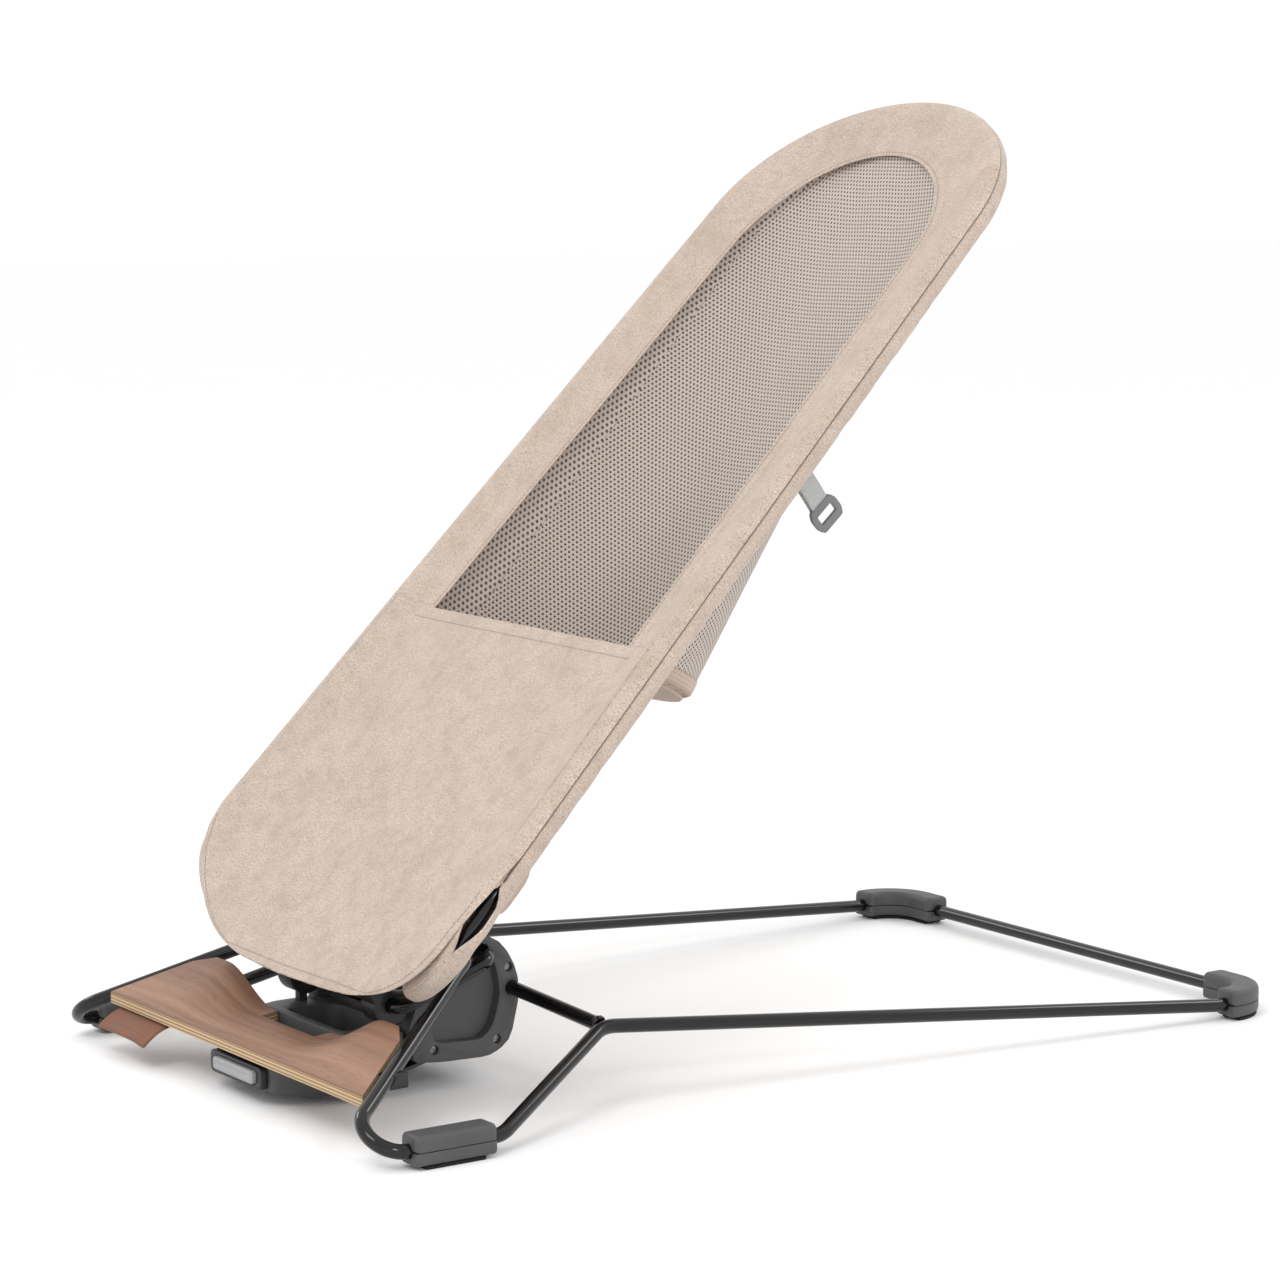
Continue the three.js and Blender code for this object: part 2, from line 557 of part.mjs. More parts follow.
function addHousing() {
  const outer = common(prismX(outline(SPINE_PROFILE, SPINE_RADII), -HUB_HALF_WIDTH, HUB_HALF_WIDTH), planLimit(0, 0, 120));
  const hollow = common(prismX(outline(SPINE_INSET, 2), -HUB_HALF_WIDTH, HUB_HALF_WIDTH), planLimit(SHELL_T, 0, 120));
  // the hub covers take the outer flanks between the towers
  const flankCut = boxBetween(towerOuterX, 80, 34, 130, 0, 120);
  const aside = [flankCut, mirrored(flankCut)];
  const buttonHole = boxBetween(
    -BUTTON.halfWidth - 1, BUTTON.halfWidth + 1, BEZEL.back - 5, BEZEL.back + 8, BUTTON.bottom - 1, BUTTON.top + 1,
  );

  const below = boxBetween(-90, 90, -90, 140, -10, PART_Z);
  const above = boxBetween(-90, 90, -90, 140, PART_Z + GAP, 140);
  const shell = cut(outer, hollow, ...aside);
  add("housing_lower", cut(common(shell, below), buttonHole), "plastic");

  // upper shell: the finger pocket hangs in it, and a tower wall stands up on each side
  const pocketOutline = (inset, radius) => outline(
    [
      [-POCKET.halfWidth - inset, POCKET.front - inset], [POCKET.halfWidth + inset, POCKET.front - inset],
      [POCKET.halfWidth - 8 + inset, POCKET.back + inset], [-POCKET.halfWidth + 8 - inset, POCKET.back + inset],
    ],
    radius,
  );
  const pocketBody = prismZ(pocketOutline(SHELL_T, POCKET.corner + 2), POCKET.floor, SPINE_TOP_Z - 0.5);
  const pocketHole = prismZ(pocketOutline(0, POCKET.corner), POCKET.floor + SHELL_T, SPINE_TOP_Z + 20);
  const tower = prismX(outline(POD_PROFILE, POD_RADII), towerInnerX, towerOuterX);
  const bailBar = tube(
    [v3(-HUB_HALF_WIDTH, BAIL_BAR.y, BAIL_BAR.z), v3(HUB_HALF_WIDTH, BAIL_BAR.y, BAIL_BAR.z)], TUBE_R + 2,
  );
  const sweepRoom = boxBetween(
    SADDLE_X - SADDLE_W / 2 - 1, 80, BAIL_BAR.y - 30, BAIL_BAR.y + 19, SPINE_TOP_Z + 0.5, 100,
  );
  const towerAbove = common(tower, above);
  const boltHole = boxBetween(
    SADDLE_X - BOLT_W / 2 - 0.5, SADDLE_X + BOLT_W / 2 + 0.5,
    BAIL_BAR.y - BOLT_W / 2 - 0.5, BAIL_BAR.y + BOLT_W / 2 + 0.5, PART_Z, SPINE_TOP_Z + 5,
  );
  let upper = join(common(shell, above), towerAbove, mirrored(towerAbove), pocketBody);
  const armEnd = tube(frontArmPath, BORE_R);
  const bailEnd = discX(0, 80, BAIL_TOP.y, BAIL_TOP.z, BORE_R);
  upper = cut(
    upper, pocketHole, bailBar, sweepRoom, mirrored(sweepRoom), boltHole, mirrored(boltHole),
    armEnd, mirrored(armEnd), bailEnd, mirrored(bailEnd),
  );
  add("housing_upper", upper, "plastic");

  // button bezel
  const bezel = prismY(
    outline([[-BEZEL.halfWidth, BEZEL.bottom], [BEZEL.halfWidth, BEZEL.bottom], [BEZEL.halfWidth, BEZEL.top],
      [-BEZEL.halfWidth, BEZEL.top]], 4),
    BEZEL.front, BEZEL.back,
  );
  const bezelHole = prismY(
    outline([[-BUTTON.halfWidth - 0.5, BUTTON.bottom - 0.5], [BUTTON.halfWidth + 0.5, BUTTON.bottom - 0.5],
      [BUTTON.halfWidth + 0.5, BUTTON.top + 0.5], [-BUTTON.halfWidth - 0.5, BUTTON.top + 0.5]], 3),
    BEZEL.front - 5, BEZEL.back + 5,
  );
  add("button_bezel", cut(bezel, bezelHole), "darkPlastic");
}

function addHubCovers() {
  let cover = prismX(outline(POD_PROFILE, POD_RADII), coverInnerX, HUB_HALF_WIDTH);
  const recess = prismX(outline(RECESS_PROFILE, 7), coverInnerX + 3.5, HUB_HALF_WIDTH + 5);
  const holes = COVER_SCREWS.map(([y, z]) => discX(HUB_HALF_WIDTH - SCREW_DEPTH, HUB_HALF_WIDTH + 2, y, z, SCREW_R + GAP, 10));
  const spineRoom = common(
    prismX(outline(SPINE_PROFILE, SPINE_RADII), 0, HUB_HALF_WIDTH + 20),
    prismZ(outline([[0, -60], [80, -60], [80, 33.7], [0, 33.7]], 0), 0, 120),
  );
  cover = cut(
    cover, recess, ...holes, spineRoom,
    tube(frontArmPath, BORE_R), tube(strutPath, BORE_R), discX(0, 90, BAIL_TOP.y, BAIL_TOP.z, BORE_R),
  );
  addPair("hub_cover", cover, "plastic");
  COVER_SCREWS.forEach(([y, z], i) => {
    const x0 = HUB_HALF_WIDTH - SCREW_DEPTH + GAP;
    const head = discX(x0, x0 + SCREW_HEAD_H, y, z, SCREW_R, 10);
    const drive = prismX(circleShape(1.2, 6), x0 + 0.8, x0 + 4);
    drive.translate(0, y, z);
    addPair(`hub_screw_${i + 1}`, cut(head, drive), "steel");
  });
}

// ---------------------------------------------------------------- release button and latch
function addLatch() {
  const b = BUTTON;
  const cap = prismY(
    outline([[-b.halfWidth, b.bottom], [b.halfWidth, b.bottom], [b.halfWidth, b.top], [-b.halfWidth, b.top]], 2.6),
    b.front, b.back,
  );
  const rodZ = 16.8;
  const rodEnd = BAIL_BAR.y - 4;
  const stem = boxBetween(-5, 5, b.back - 2, rodEnd, rodZ - ROD_T, rodZ);
  const boltInner = SADDLE_X - 4.5;
  const arm = boxBetween(-boltInner, boltInner, rodEnd - 9, rodEnd, rodZ - ROD_T, rodZ);
  const webZ0 = b.bottom + 1;
  add("release_button", cap, "button");
  const rod = join(stem, arm, boxBetween(-5, 5, b.back + GAP, b.back + 4, webZ0, b.top - 1));
  const trimmed = cut(rod, boxBetween(-40, 40, b.back - 20, b.back + GAP, 0, 60));
  add("push_rod", trimmed, "darkPlastic");

  const boltTop = BAIL_BAR.z - INDEX_R + 2.2;
  const bolt = join(
    boxBetween(SADDLE_X - BOLT_W / 2, SADDLE_X + BOLT_W / 2, BAIL_BAR.y - BOLT_W / 2, BAIL_BAR.y + BOLT_W / 2, 30, boltTop),
    boxBetween(SADDLE_X - 4, SADDLE_X + 4, BAIL_BAR.y - 4, BAIL_BAR.y + 4, 28, 31),
  );
  addPair("latch_bolt", bolt, "darkPlastic");

  const turns = 4;
  const stepsPerTurn = 8;
  const springR = 2.6;
  const wireR = 0.45;
  const z0 = 13.2;
  const z1 = 27.2;
  const stations = [];
  for (let i = 0; i <= turns * stepsPerTurn; i++) {
    const a = (2 * Math.PI * i) / stepsPerTurn;
    const z = z0 + ((z1 - z0) * i) / (turns * stepsPerTurn);
    stations.push(v3(SADDLE_X + springR * Math.cos(a), BAIL_BAR.y + springR * Math.sin(a), z));
  }
  addPair("latch_spring", tube(stations, wireR, 4), "steel");
}

// ---------------------------------------------------------------- bail and seat saddles
const pitch = rad(SEAT_PITCH);
const SEAT_ALONG = v3(0, Math.cos(pitch), Math.sin(pitch));
const SEAT_OUT = v3(0, -Math.sin(pitch), Math.cos(pitch));

function seatPoint(x, t, n) {
  return v3(x, SEAT_ORIGIN.y, SEAT_ORIGIN.z).addScaledVector(SEAT_ALONG, t).addScaledVector(SEAT_OUT, n);
}

const crossAxis = seatPoint(0, CROSS_T, CROSS_N);

function addBail() {
  const right = [
    v3(coverInnerX + 1, BAIL_TOP.y, BAIL_TOP.z),
    v3(BAIL_X, BAIL_TOP.y, BAIL_TOP.z),
    v3(BAIL_X, BAIL_BAR.y, BAIL_BAR.z),
  ];
  const left = right.map((p) => v3(-p.x, p.y, p.z)).reverse();
  const radii = [BAIL_BEND_R, BAIL_BEND_R, BAIL_BEND_R, BAIL_BEND_R];
  add("spring_bail", tube(bentPath([...right, ...left], radii)), "tube");
}

function addSaddles() {
  const x0 = SADDLE_X - SADDLE_W / 2;
  const x1 = SADDLE_X + SADDLE_W / 2;
  const seat = [crossAxis.y, crossAxis.z];
  const link = new THREE.Shape();
  const lean = Math.atan2(seat[1] - BAIL_BAR.z, seat[0] - BAIL_BAR.y);
  link.absarc(BAIL_BAR.y, BAIL_BAR.z, SADDLE_R, lean + Math.PI / 2, lean - Math.PI / 2, false);
  link.absarc(seat[0], seat[1], SADDLE_R - 1, lean - Math.PI / 2, lean + Math.PI / 2, false);
  const index = discX(x0, x1, BAIL_BAR.y, BAIL_BAR.z, INDEX_R, 24);
  // slot under the disc: the latch bolt stands in it, and it runs on round the disc by the fold's travel
  const slot = new THREE.Shape();
  const from = rad(270 - 16);
  const to = rad(270 + 16 + SLOT_DEG);
  slot.absarc(BAIL_BAR.y, BAIL_BAR.z, INDEX_R + 3, from, to, false);
  slot.absarc(BAIL_BAR.y, BAIL_BAR.z, INDEX_R - 2.7, to, from, true);
  slot.closePath();
  const body = cut(
    join(prismX(link, x0, x1, 8), index),
    prismX(slot, SADDLE_X - BOLT_W / 2 - 0.8, SADDLE_X + BOLT_W / 2 + 0.8, 12),
    discX(x0 - 2, x1 + 2, BAIL_BAR.y, BAIL_BAR.z, BORE_R),
    discX(x0 - 2, x1 + 2, ...seat, BORE_R),
  );
  addPair("seat_saddle", body, "darkPlastic");
}

// ---------------------------------------------------------------- seat frame
const railX = (t) => RAIL_HALF_WIDTH - RAIL_TAPER * t;

function headArc(steps) {
  const points = [];
  const a = railX(SIDE_TOP_T);
  for (let i = 0; i <= steps; i++) {
    const angle = (Math.PI * i) / steps;
    points.push(seatPoint(a * Math.cos(angle), SIDE_TOP_T + HEAD_ARC_RISE * Math.sin(angle), 0));
  }
  return points;
}

// the foot of each side rail curls inwards and down to the lower cross tube
function footCurl(steps) {
  const top = seatPoint(railX(SIDE_BOTTOM_T), SIDE_BOTTOM_T, 0);
  const curve = new THREE.CubicBezierCurve3(
    top,
    seatPoint(railX(SIDE_BOTTOM_T - 50), SIDE_BOTTOM_T - 50, -3),
    seatPoint(CROSS_HALF + 42, CROSS_T, CROSS_N),
    seatPoint(CROSS_HALF, CROSS_T, CROSS_N),
  );
  return curve.getPoints(steps);
}

const mirrorPoints = (points) => points.map((p) => v3(-p.x, p.y, p.z)).reverse();

function addSeatFrame() {
  const spliceGap = GAP;
  const upper = [
    seatPoint(railX(FRAME_SPLICE_T), FRAME_SPLICE_T + spliceGap, 0),
    ...headArc(HEAD_FACETS),
    seatPoint(-railX(FRAME_SPLICE_T), FRAME_SPLICE_T + spliceGap, 0),
  ];
  const half = [seatPoint(railX(FRAME_SPLICE_T), FRAME_SPLICE_T - spliceGap, 0), ...footCurl(8)];
  add("seat_frame_upper", tube(upper), "tube");
  add("seat_frame_lower", tube([...half, ...mirrorPoints(half)]), "tube");
}

// ---------------------------------------------------------------- cloth
function sleeveShape() {
  const shape = circleShape(SLEEVE_R, 10);
  shape.holes.push(circleShape(TUBE_R + 0.6, 8));
  return shape;
}

function sleevePath() {
  const half = footCurl(8).slice(0, 6).reverse();
  return [...half, ...headArc(HEAD_FACETS), ...mirrorPoints(half)];
}

function addSleeve() {
  add("rail_sleeve", sweep(sleeveShape(), sleevePath()), "cloth");
}

// half width of the top panel at t: inside the sleeves, round at the head and at the flap's hem
function panelHalfWidth(t) {
  const inside = SLEEVE_R + GAP * 2;
  if (t > SIDE_TOP_T) {
    const s = Math.min((t - SIDE_TOP_T) / (HEAD_ARC_RISE - inside), 1);
    return (railX(SIDE_TOP_T) - inside) * Math.sqrt(1 - s * s);
  }
  if (t < SIDE_BOTTOM_T) {
    const s = (SIDE_BOTTOM_T - t) / (SIDE_BOTTOM_T - FLAP_T);
    return (railX(SIDE_BOTTOM_T) - inside) * Math.pow(Math.max(1 - Math.pow(s, 2.6), 0), 0.5);
  }
  return railX(t) - inside;
}

// the flap sinks between the curling rails
const flapDrop = (t) => -24 * Math.pow(Math.max((SIDE_BOTTOM_T + 20 - t) / (SIDE_BOTTOM_T + 20 - FLAP_T), 0), 1.6);

function windowShape(grow) {
  const half = (t) => WINDOW.halfWidth + grow - WINDOW.taper * (t - WINDOW.bottom);
  const sideTop = WINDOW.top - WINDOW.arc;
  const shape = new THREE.Shape();
  shape.moveTo(-half(WINDOW.bottom), WINDOW.bottom - grow);
  shape.lineTo(half(WINDOW.bottom), WINDOW.bottom - grow);
  shape.lineTo(half(sideTop), sideTop);
  shape.absellipse(0, sideTop, half(sideTop), WINDOW.arc + grow, 0, Math.PI, false);
  shape.closePath();
  return shape;
}

// places a solid drawn as (x, t, n) into the seat
function intoSeat(geometry) {
  const m = new THREE.Matrix4().makeBasis(v3(1, 0, 0), SEAT_ALONG, SEAT_OUT);
  m.setPosition(seatPoint(0, 0, 0));
  geometry.applyMatrix4(m);
  return geometry;
}

function addPanel() {
  const top = SIDE_TOP_T + HEAD_ARC_RISE - SLEEVE_R - GAP * 2;
  // rows crowd together at both round ends
  const spread = (v) => 0.5 - 0.5 * Math.cos(Math.PI * v);
  const panel = sheet((u, v) => {
    const t = THREE.MathUtils.lerp(FLAP_T + 0.6, top - 0.6, spread(v));
    return seatPoint((2 * u - 1) * panelHalfWidth(t), t, flapDrop(t));
  }, PANEL_T, 10, 26);
  const hole = intoSeat(prismZ(windowShape(0), -20, 20, 12));
  add("seat_panel", cut(panel, hole, tube(sleevePath(), SLEEVE_R + GAP, 10)), "cloth");
}

// depth of the sling's hollow: deepest at its lower edge, running out at the head
function slingDepth(t) {
  const head = Math.min(Math.max((WINDOW.top - t) / 70, 0), 1);
  return (MESH_SAG - MESH_SAG_FALL * (t - WINDOW.bottom)) * Math.sqrt(head * (2 - head));
}

function slingHalfWidth(t) {
  const sideTop = WINDOW.top - WINDOW.arc;
  const straight = WINDOW.halfWidth + 8 - WINDOW.taper * (t - WINDOW.bottom);
  const s = Math.max((t - sideTop) / (WINDOW.arc + 8), 0);
  return straight * Math.sqrt(Math.max(1 - s * s, 0));
}

function addMeshSling() {
  const sling = sheet((u, v) => {
    const angle = Math.PI * (1 - u);
    const t = THREE.MathUtils.lerp(SLING_BOTTOM_T - EDGE_LOW * (1 - Math.sin(angle)), WINDOW.top - 1, v);
    return seatPoint(slingHalfWidth(t) * Math.cos(angle), t, -EDGE_DROP - slingDepth(t) * Math.sin(angle));
  }, MESH_T, 14, 12);
  add("mesh_sling", sling, "mesh");
}

function addPouch() {
  // knit cloth: in from the mesh sling's lower edge, then out and down behind the seat in a fold
  const route = new THREE.CatmullRomCurve3(POUCH_ROUTE.map(([t, n]) => v3(0, t, n)));
  const pouch = sheet((u, v) => {
    const p = route.getPoint(v);
    const angle = Math.PI * (1 - u);
    const half = THREE.MathUtils.lerp(slingHalfWidth(SLING_BOTTOM_T), POUCH_HALF_WIDTH, smooth(v, 0, 0.6));
    const x = half * Math.cos(angle);
    const lobe = POUCH_LOBE * smooth(Math.abs(x), 110, 132) * smooth(v, 0.45, 0.75);
    const t = p.y - EDGE_LOW * (1 - Math.sin(angle)) * (1 - v) - lobe;
    const edge = EDGE_DROP + 3 * smooth(v, 0.5, 1);
    const square = THREE.MathUtils.lerp(1, 0.62, smooth(v, 0.45, 0.75));
    return seatPoint(x, t, -edge + (p.z + edge) * Math.pow(Math.sin(angle), square));
  }, POUCH_T, 16, 12);
  add("seat_pouch", pouch, "knit");
}

function addStraps() {
  // a short webbing tail under each rail, folded through a slotted plastic tab
  const root = seatPoint(railX(STRAP_T_POS), STRAP_T_POS, -SLEEVE_R - GAP - 1.2);
  const half = STRAP_W / 2;
  const strapSheet = sheet((u, v) => {
    const y = root.y + (u - 0.5) * STRAP_W * 0.7;
    const z = root.z - 1.5 + (u - 0.5) * STRAP_W * 0.7;
    return v3(root.x - 1, y + v * 9, z - v * 12);
  }, STRAP_THICK, 2, 3);
  addPair("strap", strapSheet, "webbing");

  const ring = cut(
    prismX(outline([[-half - 2.5, -4], [-half, -9], [half, -9], [half + 2.5, -4], [half + 2.5, 4], [half, 9], [-half, 9],
      [-half - 2.5, 4]], 1.5), -1.6, 1.6),
    prismX(outline([[-half + 2, -3.5], [half - 2, -3.5], [half - 2, 3.5], [-half + 2, 3.5]], 0.6), -5, 5),
  );
  ring.rotateX(rad(42));
  ring.translate(root.x - 1, root.y + 17.5, root.z - 21.5);
  addPair("strap_tab", ring, "plastic");
}

// ---------------------------------------------------------------- assembly
addBaseFrame();
addFeet();
addBoard();
addHousing();
addHubCovers();
addLatch();
addBail();
addSaddles();
addSeatFrame();
addSleeve();
addPanel();
addMeshSling();
addPouch();
addStraps();

// the origin goes to the floor under the middle of the box
const bounds = new THREE.Box3().setFromObject(object);
object.position.set(-(bounds.min.x + bounds.max.x) / 2, -(bounds.min.y + bounds.max.y) / 2, -bounds.min.z);

export default object;
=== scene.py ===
"""Baby bouncer seat: wire base on rubber-soled feet, walnut foot board, hub and fabric sling seat."""

import logging
import math
from dataclasses import dataclass, field
from enum import Enum
from typing import Any, Callable, Sequence

import bpy
import numpy as np
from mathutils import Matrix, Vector, noise

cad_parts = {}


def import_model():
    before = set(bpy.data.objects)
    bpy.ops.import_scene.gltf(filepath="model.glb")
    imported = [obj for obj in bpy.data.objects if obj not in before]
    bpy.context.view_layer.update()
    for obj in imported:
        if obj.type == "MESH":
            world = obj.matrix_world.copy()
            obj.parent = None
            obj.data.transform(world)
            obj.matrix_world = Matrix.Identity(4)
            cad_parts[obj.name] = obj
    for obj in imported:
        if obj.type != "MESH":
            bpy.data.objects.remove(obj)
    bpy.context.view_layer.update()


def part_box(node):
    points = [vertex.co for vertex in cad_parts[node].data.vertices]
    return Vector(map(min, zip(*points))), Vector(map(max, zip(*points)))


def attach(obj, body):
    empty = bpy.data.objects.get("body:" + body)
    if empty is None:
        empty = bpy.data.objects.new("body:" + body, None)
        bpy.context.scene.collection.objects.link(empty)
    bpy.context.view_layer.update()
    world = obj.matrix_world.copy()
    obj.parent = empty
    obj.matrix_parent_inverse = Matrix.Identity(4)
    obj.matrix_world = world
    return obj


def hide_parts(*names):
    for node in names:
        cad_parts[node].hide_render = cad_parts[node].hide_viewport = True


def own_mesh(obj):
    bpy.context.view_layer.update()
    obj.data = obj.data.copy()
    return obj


Array = np.ndarray
Triple = tuple[float, float, float]
Socket = bpy.types.NodeSocket
LOG = logging.getLogger("bouncer")
SIDES = (("right", 1.0), ("left", -1.0))
WELD_DISTANCE = 0.00002
FLAT_DEGREES, BEVEL_DEGREES, SHARP_DEGREES = 1.0, 38, 42


class Body(str, Enum):
    """The moving bodies that pieces ride on."""

    BASE = "base"
    CARRIER = "carrier"
    SEAT = "seat"
    BUTTON = "button"
    LATCH = "latch"


class Slot(str, Enum):
    """Names of the material slots."""

    TUBE = "tube"
    PLASTIC = "plastic"
    DARK = "dark_plastic"
    RUBBER = "rubber"
    BUTTON = "button"
    STEEL = "steel"
    WALNUT = "walnut"
    LEATHER = "leather"
    CLOTH = "cloth"
    MESH = "mesh"
    KNIT = "knit"
    WEBBING = "webbing"


# ------------------------------------------------------------------ geometry
def vec(*values: float) -> Array:
    """A point or direction as an array."""
    return np.array(values, float)


def unit(v: Array) -> Array:
    """The vectors of an array, each scaled to length one."""
    length = np.linalg.norm(v, axis=-1, keepdims=True)
    return v / np.where(length < 1e-12, 1.0, length)


def smooth(x: Array | float, a: float, b: float) -> Array:
    """Smooth step from 0 at a to 1 at b."""
    s = np.clip((np.asarray(x, float) - a) / (b - a), 0.0, 1.0)
    return s * s * (3 - 2 * s)


def ripple(points: Array, scale: float, seed: float = 0.0) -> Array:
    """Gentle noise at each point.

    Args:
        points: Array of points, last axis xyz, in metres.
        scale: Waves per metre.
        seed: Moves the pattern.

    Returns:
        One value from about -1 to 1 for each point.
    """
    flat = points.reshape(-1, 3) * scale + seed
    out = np.array([noise.noise(Vector(p)) for p in flat])
    return out.reshape(points.shape[:-1])


def travel(points: Array, axis: int = 0) -> Array:
    """Distance covered so far along one axis of an array of points.

    Args:
        points: Points, last axis xyz.
        axis: The axis to go along.

    Returns:
        The distances, nought at the start.
    """
    steps = np.linalg.norm(np.diff(points, axis=axis), axis=-1)
    start = np.zeros_like(np.take(steps, [0], axis=axis))
    return np.concatenate([start, np.cumsum(steps, axis=axis)], axis=axis)


@dataclass
class Draft:
    """Vertices and faces gathered before they become one mesh object."""

    shift: Array
    verts: list[Array] = field(default_factory=list)
    faces: list[tuple[int, ...]] = field(default_factory=list)
    uvs: list[tuple[float, float]] = field(default_factory=list)
    slots: list[int] = field(default_factory=list)
    count: int = 0

    def add(self, verts: Array) -> int:
        """Adds points.

        Args:
            verts: Array of points, N by 3.

        Returns:
            The index of the first of them.
        """
        first = self.count
        self.verts.append(np.asarray(verts, float).reshape(-1, 3))
        self.count += len(self.verts[-1])
        return first

    def face(self, indices: Sequence[int], uv: Sequence[tuple[float, float]] | None = None, slot: int = 0) -> None:
        """Adds one face.

        Args:
            indices: Its corners, in order.
            uv: A flat coordinate in metres for each corner.
            slot: Which of the object's materials it takes.
        """
        self.faces.append(tuple(int(i) for i in indices))
        self.uvs.extend(uv if uv is not None else [(0.0, 0.0)] * len(indices))
        self.slots.append(slot)

    def grid(self, index: Array, uv: Array, slot: int = 0, flip: bool = False) -> None:
        """Adds the quads of a grid.

        Args:
            index: Vertex numbers, rows by columns.
            uv: Flat coordinates in metres, rows by columns by 2.
            slot: Which of the object's materials they take.
            flip: Turns the faces round.
        """
        for r in range(index.shape[0] - 1):
            for c in range(index.shape[1] - 1):
                ring = [(r, c), (r, c + 1), (r + 1, c + 1), (r + 1, c)]
                if flip:
                    ring.reverse()
                self.face([index[k] for k in ring], [tuple(uv[k]) for k in ring], slot)

    def build(self, name: str, materials: Sequence[bpy.types.Material], crease: float = 40.0) -> bpy.types.Object:
        """Makes the mesh object.

        Args:
            name: The piece's name.
            materials: The materials that the faces' slots pick from.
            crease: Edges sharper than this many degrees stay sharp.

        Returns:
            The object, linked to the scene.
        """
        points = np.concatenate(self.verts) + self.shift
        mesh = bpy.data.meshes.new(name)
        mesh.from_pydata(points.tolist(), [], self.faces)
        layer = mesh.uv_layers.new(name="Flat")
        layer.data.foreach_set("uv", np.array(self.uvs, np.float32).ravel())
        for material in materials:
            mesh.materials.append(material)
        mesh.polygons.foreach_set("material_index", self.slots)
        mesh.validate()
        mesh.shade_smooth()
        if crease < 180:
            mesh.set_sharp_from_angle(angle=math.radians(crease))
        made = bpy.data.objects.new(name, mesh)
        bpy.context.scene.collection.objects.link(made)
        return made


def loft(draft: Draft, rings: Array, closed: bool = True, caps: bool = True, slot: int = 0,
         along: Array | None = None, around: Array | None = None, offset: tuple[float, float] = (0.0, 0.0)) -> Array:
    """Joins rings of points into a skin.

    Args:
        draft: Takes the faces.
        rings: Rings by points by 3, every ring in the same order.
        closed: Whether each ring closes on itself.
        caps: Whether the first and last ring are filled.
        slot: Material slot of the faces.
        along: Flat coordinate of each ring; measured if left out.
        around: Flat coordinate of each point of a ring; measured if left out.
        offset: Added to the flat coordinates.

    Returns:
        The vertex numbers, rings by points.
    """
    count, width = rings.shape[:2]
    if along is None:
        centre = rings.mean(axis=1)
        along = travel(centre)
    wide = np.concatenate([rings, rings[:, :1]], axis=1) if closed else rings
    if around is None:
        middle = wide[count // 2]
        around = travel(middle)
    first = draft.add(rings.reshape(-1, 3))
    index = first + np.arange(count * width).reshape(count, width)
    used = np.concatenate([index, index[:, :1]], axis=1) if closed else index
    uv = np.stack(np.meshgrid(np.asarray(around) + offset[1], np.asarray(along) + offset[0]), axis=-1)[..., ::-1]
    draft.grid(used, uv, slot)
    if caps and closed:
        flat = [(float(p[0]), float(p[2])) for p in rings[0]]
        draft.face(list(index[0][::-1]), flat[::-1], slot)
        draft.face(list(index[-1]), [(float(p[0]), float(p[2])) for p in rings[-1]], slot)
    return index


def frames(path: Array, up: Array | None = None) -> tuple[Array, Array]:
    """Directions across a path.

    Args:
        path: Points of the path, N by 3.
        up: Fixed direction that the second axis stays near; carried along the path if left out.

    Returns:
        Two arrays of unit vectors square to the path and to each other.
    """
    tangent = np.gradient(path, axis=0)
    tangent[0], tangent[-1] = path[1] - path[0], path[-1] - path[-2]
    tangent = unit(tangent)
    if up is not None:
        side = unit(np.cross(tangent, up))
        return side, np.cross(side, tangent)
    start = vec(0, 0, 1) if abs(tangent[0][2]) < 0.9 else vec(1, 0, 0)
    side = [unit(np.cross(tangent[0], start))]
    for t in tangent[1:]:
        side.append(unit(side[-1] - t * np.dot(side[-1], t)))
    sides = np.array(side)
    return sides, np.cross(sides, tangent)


def tube_rings(path: Array, radius: Array | float, sides: int = 28, round_end: float = 0.0) -> Array:
    """Rings of a round tube along a path.

    Args:
        path: Points of the centre line.
        radius: One radius, or one for each point.
        sides: Points in a ring.
        round_end: Radius of the edge at both ends.

    Returns:
        Rings by sides by 3.
    """
    side, up = frames(path)
    radii = np.broadcast_to(np.asarray(radius, float), (len(path),)).copy()
    angle = np.linspace(0, 2 * math.pi, sides, endpoint=False)
    rings = path[:, None] + radii[:, None, None] * (
        np.cos(angle)[None, :, None] * side[:, None] + np.sin(angle)[None, :, None] * up[:, None])
    if round_end > 0:
        for end, inner in ((0, 1), (-1, -2)):
            pull = unit(path[inner] - path[end])
            lips = []
            for a in np.linspace(0, math.pi / 2, 4):
                centre = path[end] + pull * round_end * (1 - math.sin(a))
                scale = (radii[end] - round_end * (1 - math.cos(a))) / radii[end]
                lips.append(centre + (rings[end] - path[end]) * scale)
            rings = np.concatenate([lips[::-1], rings[1:]] if end == 0 else [rings[:-1], lips])
    return rings


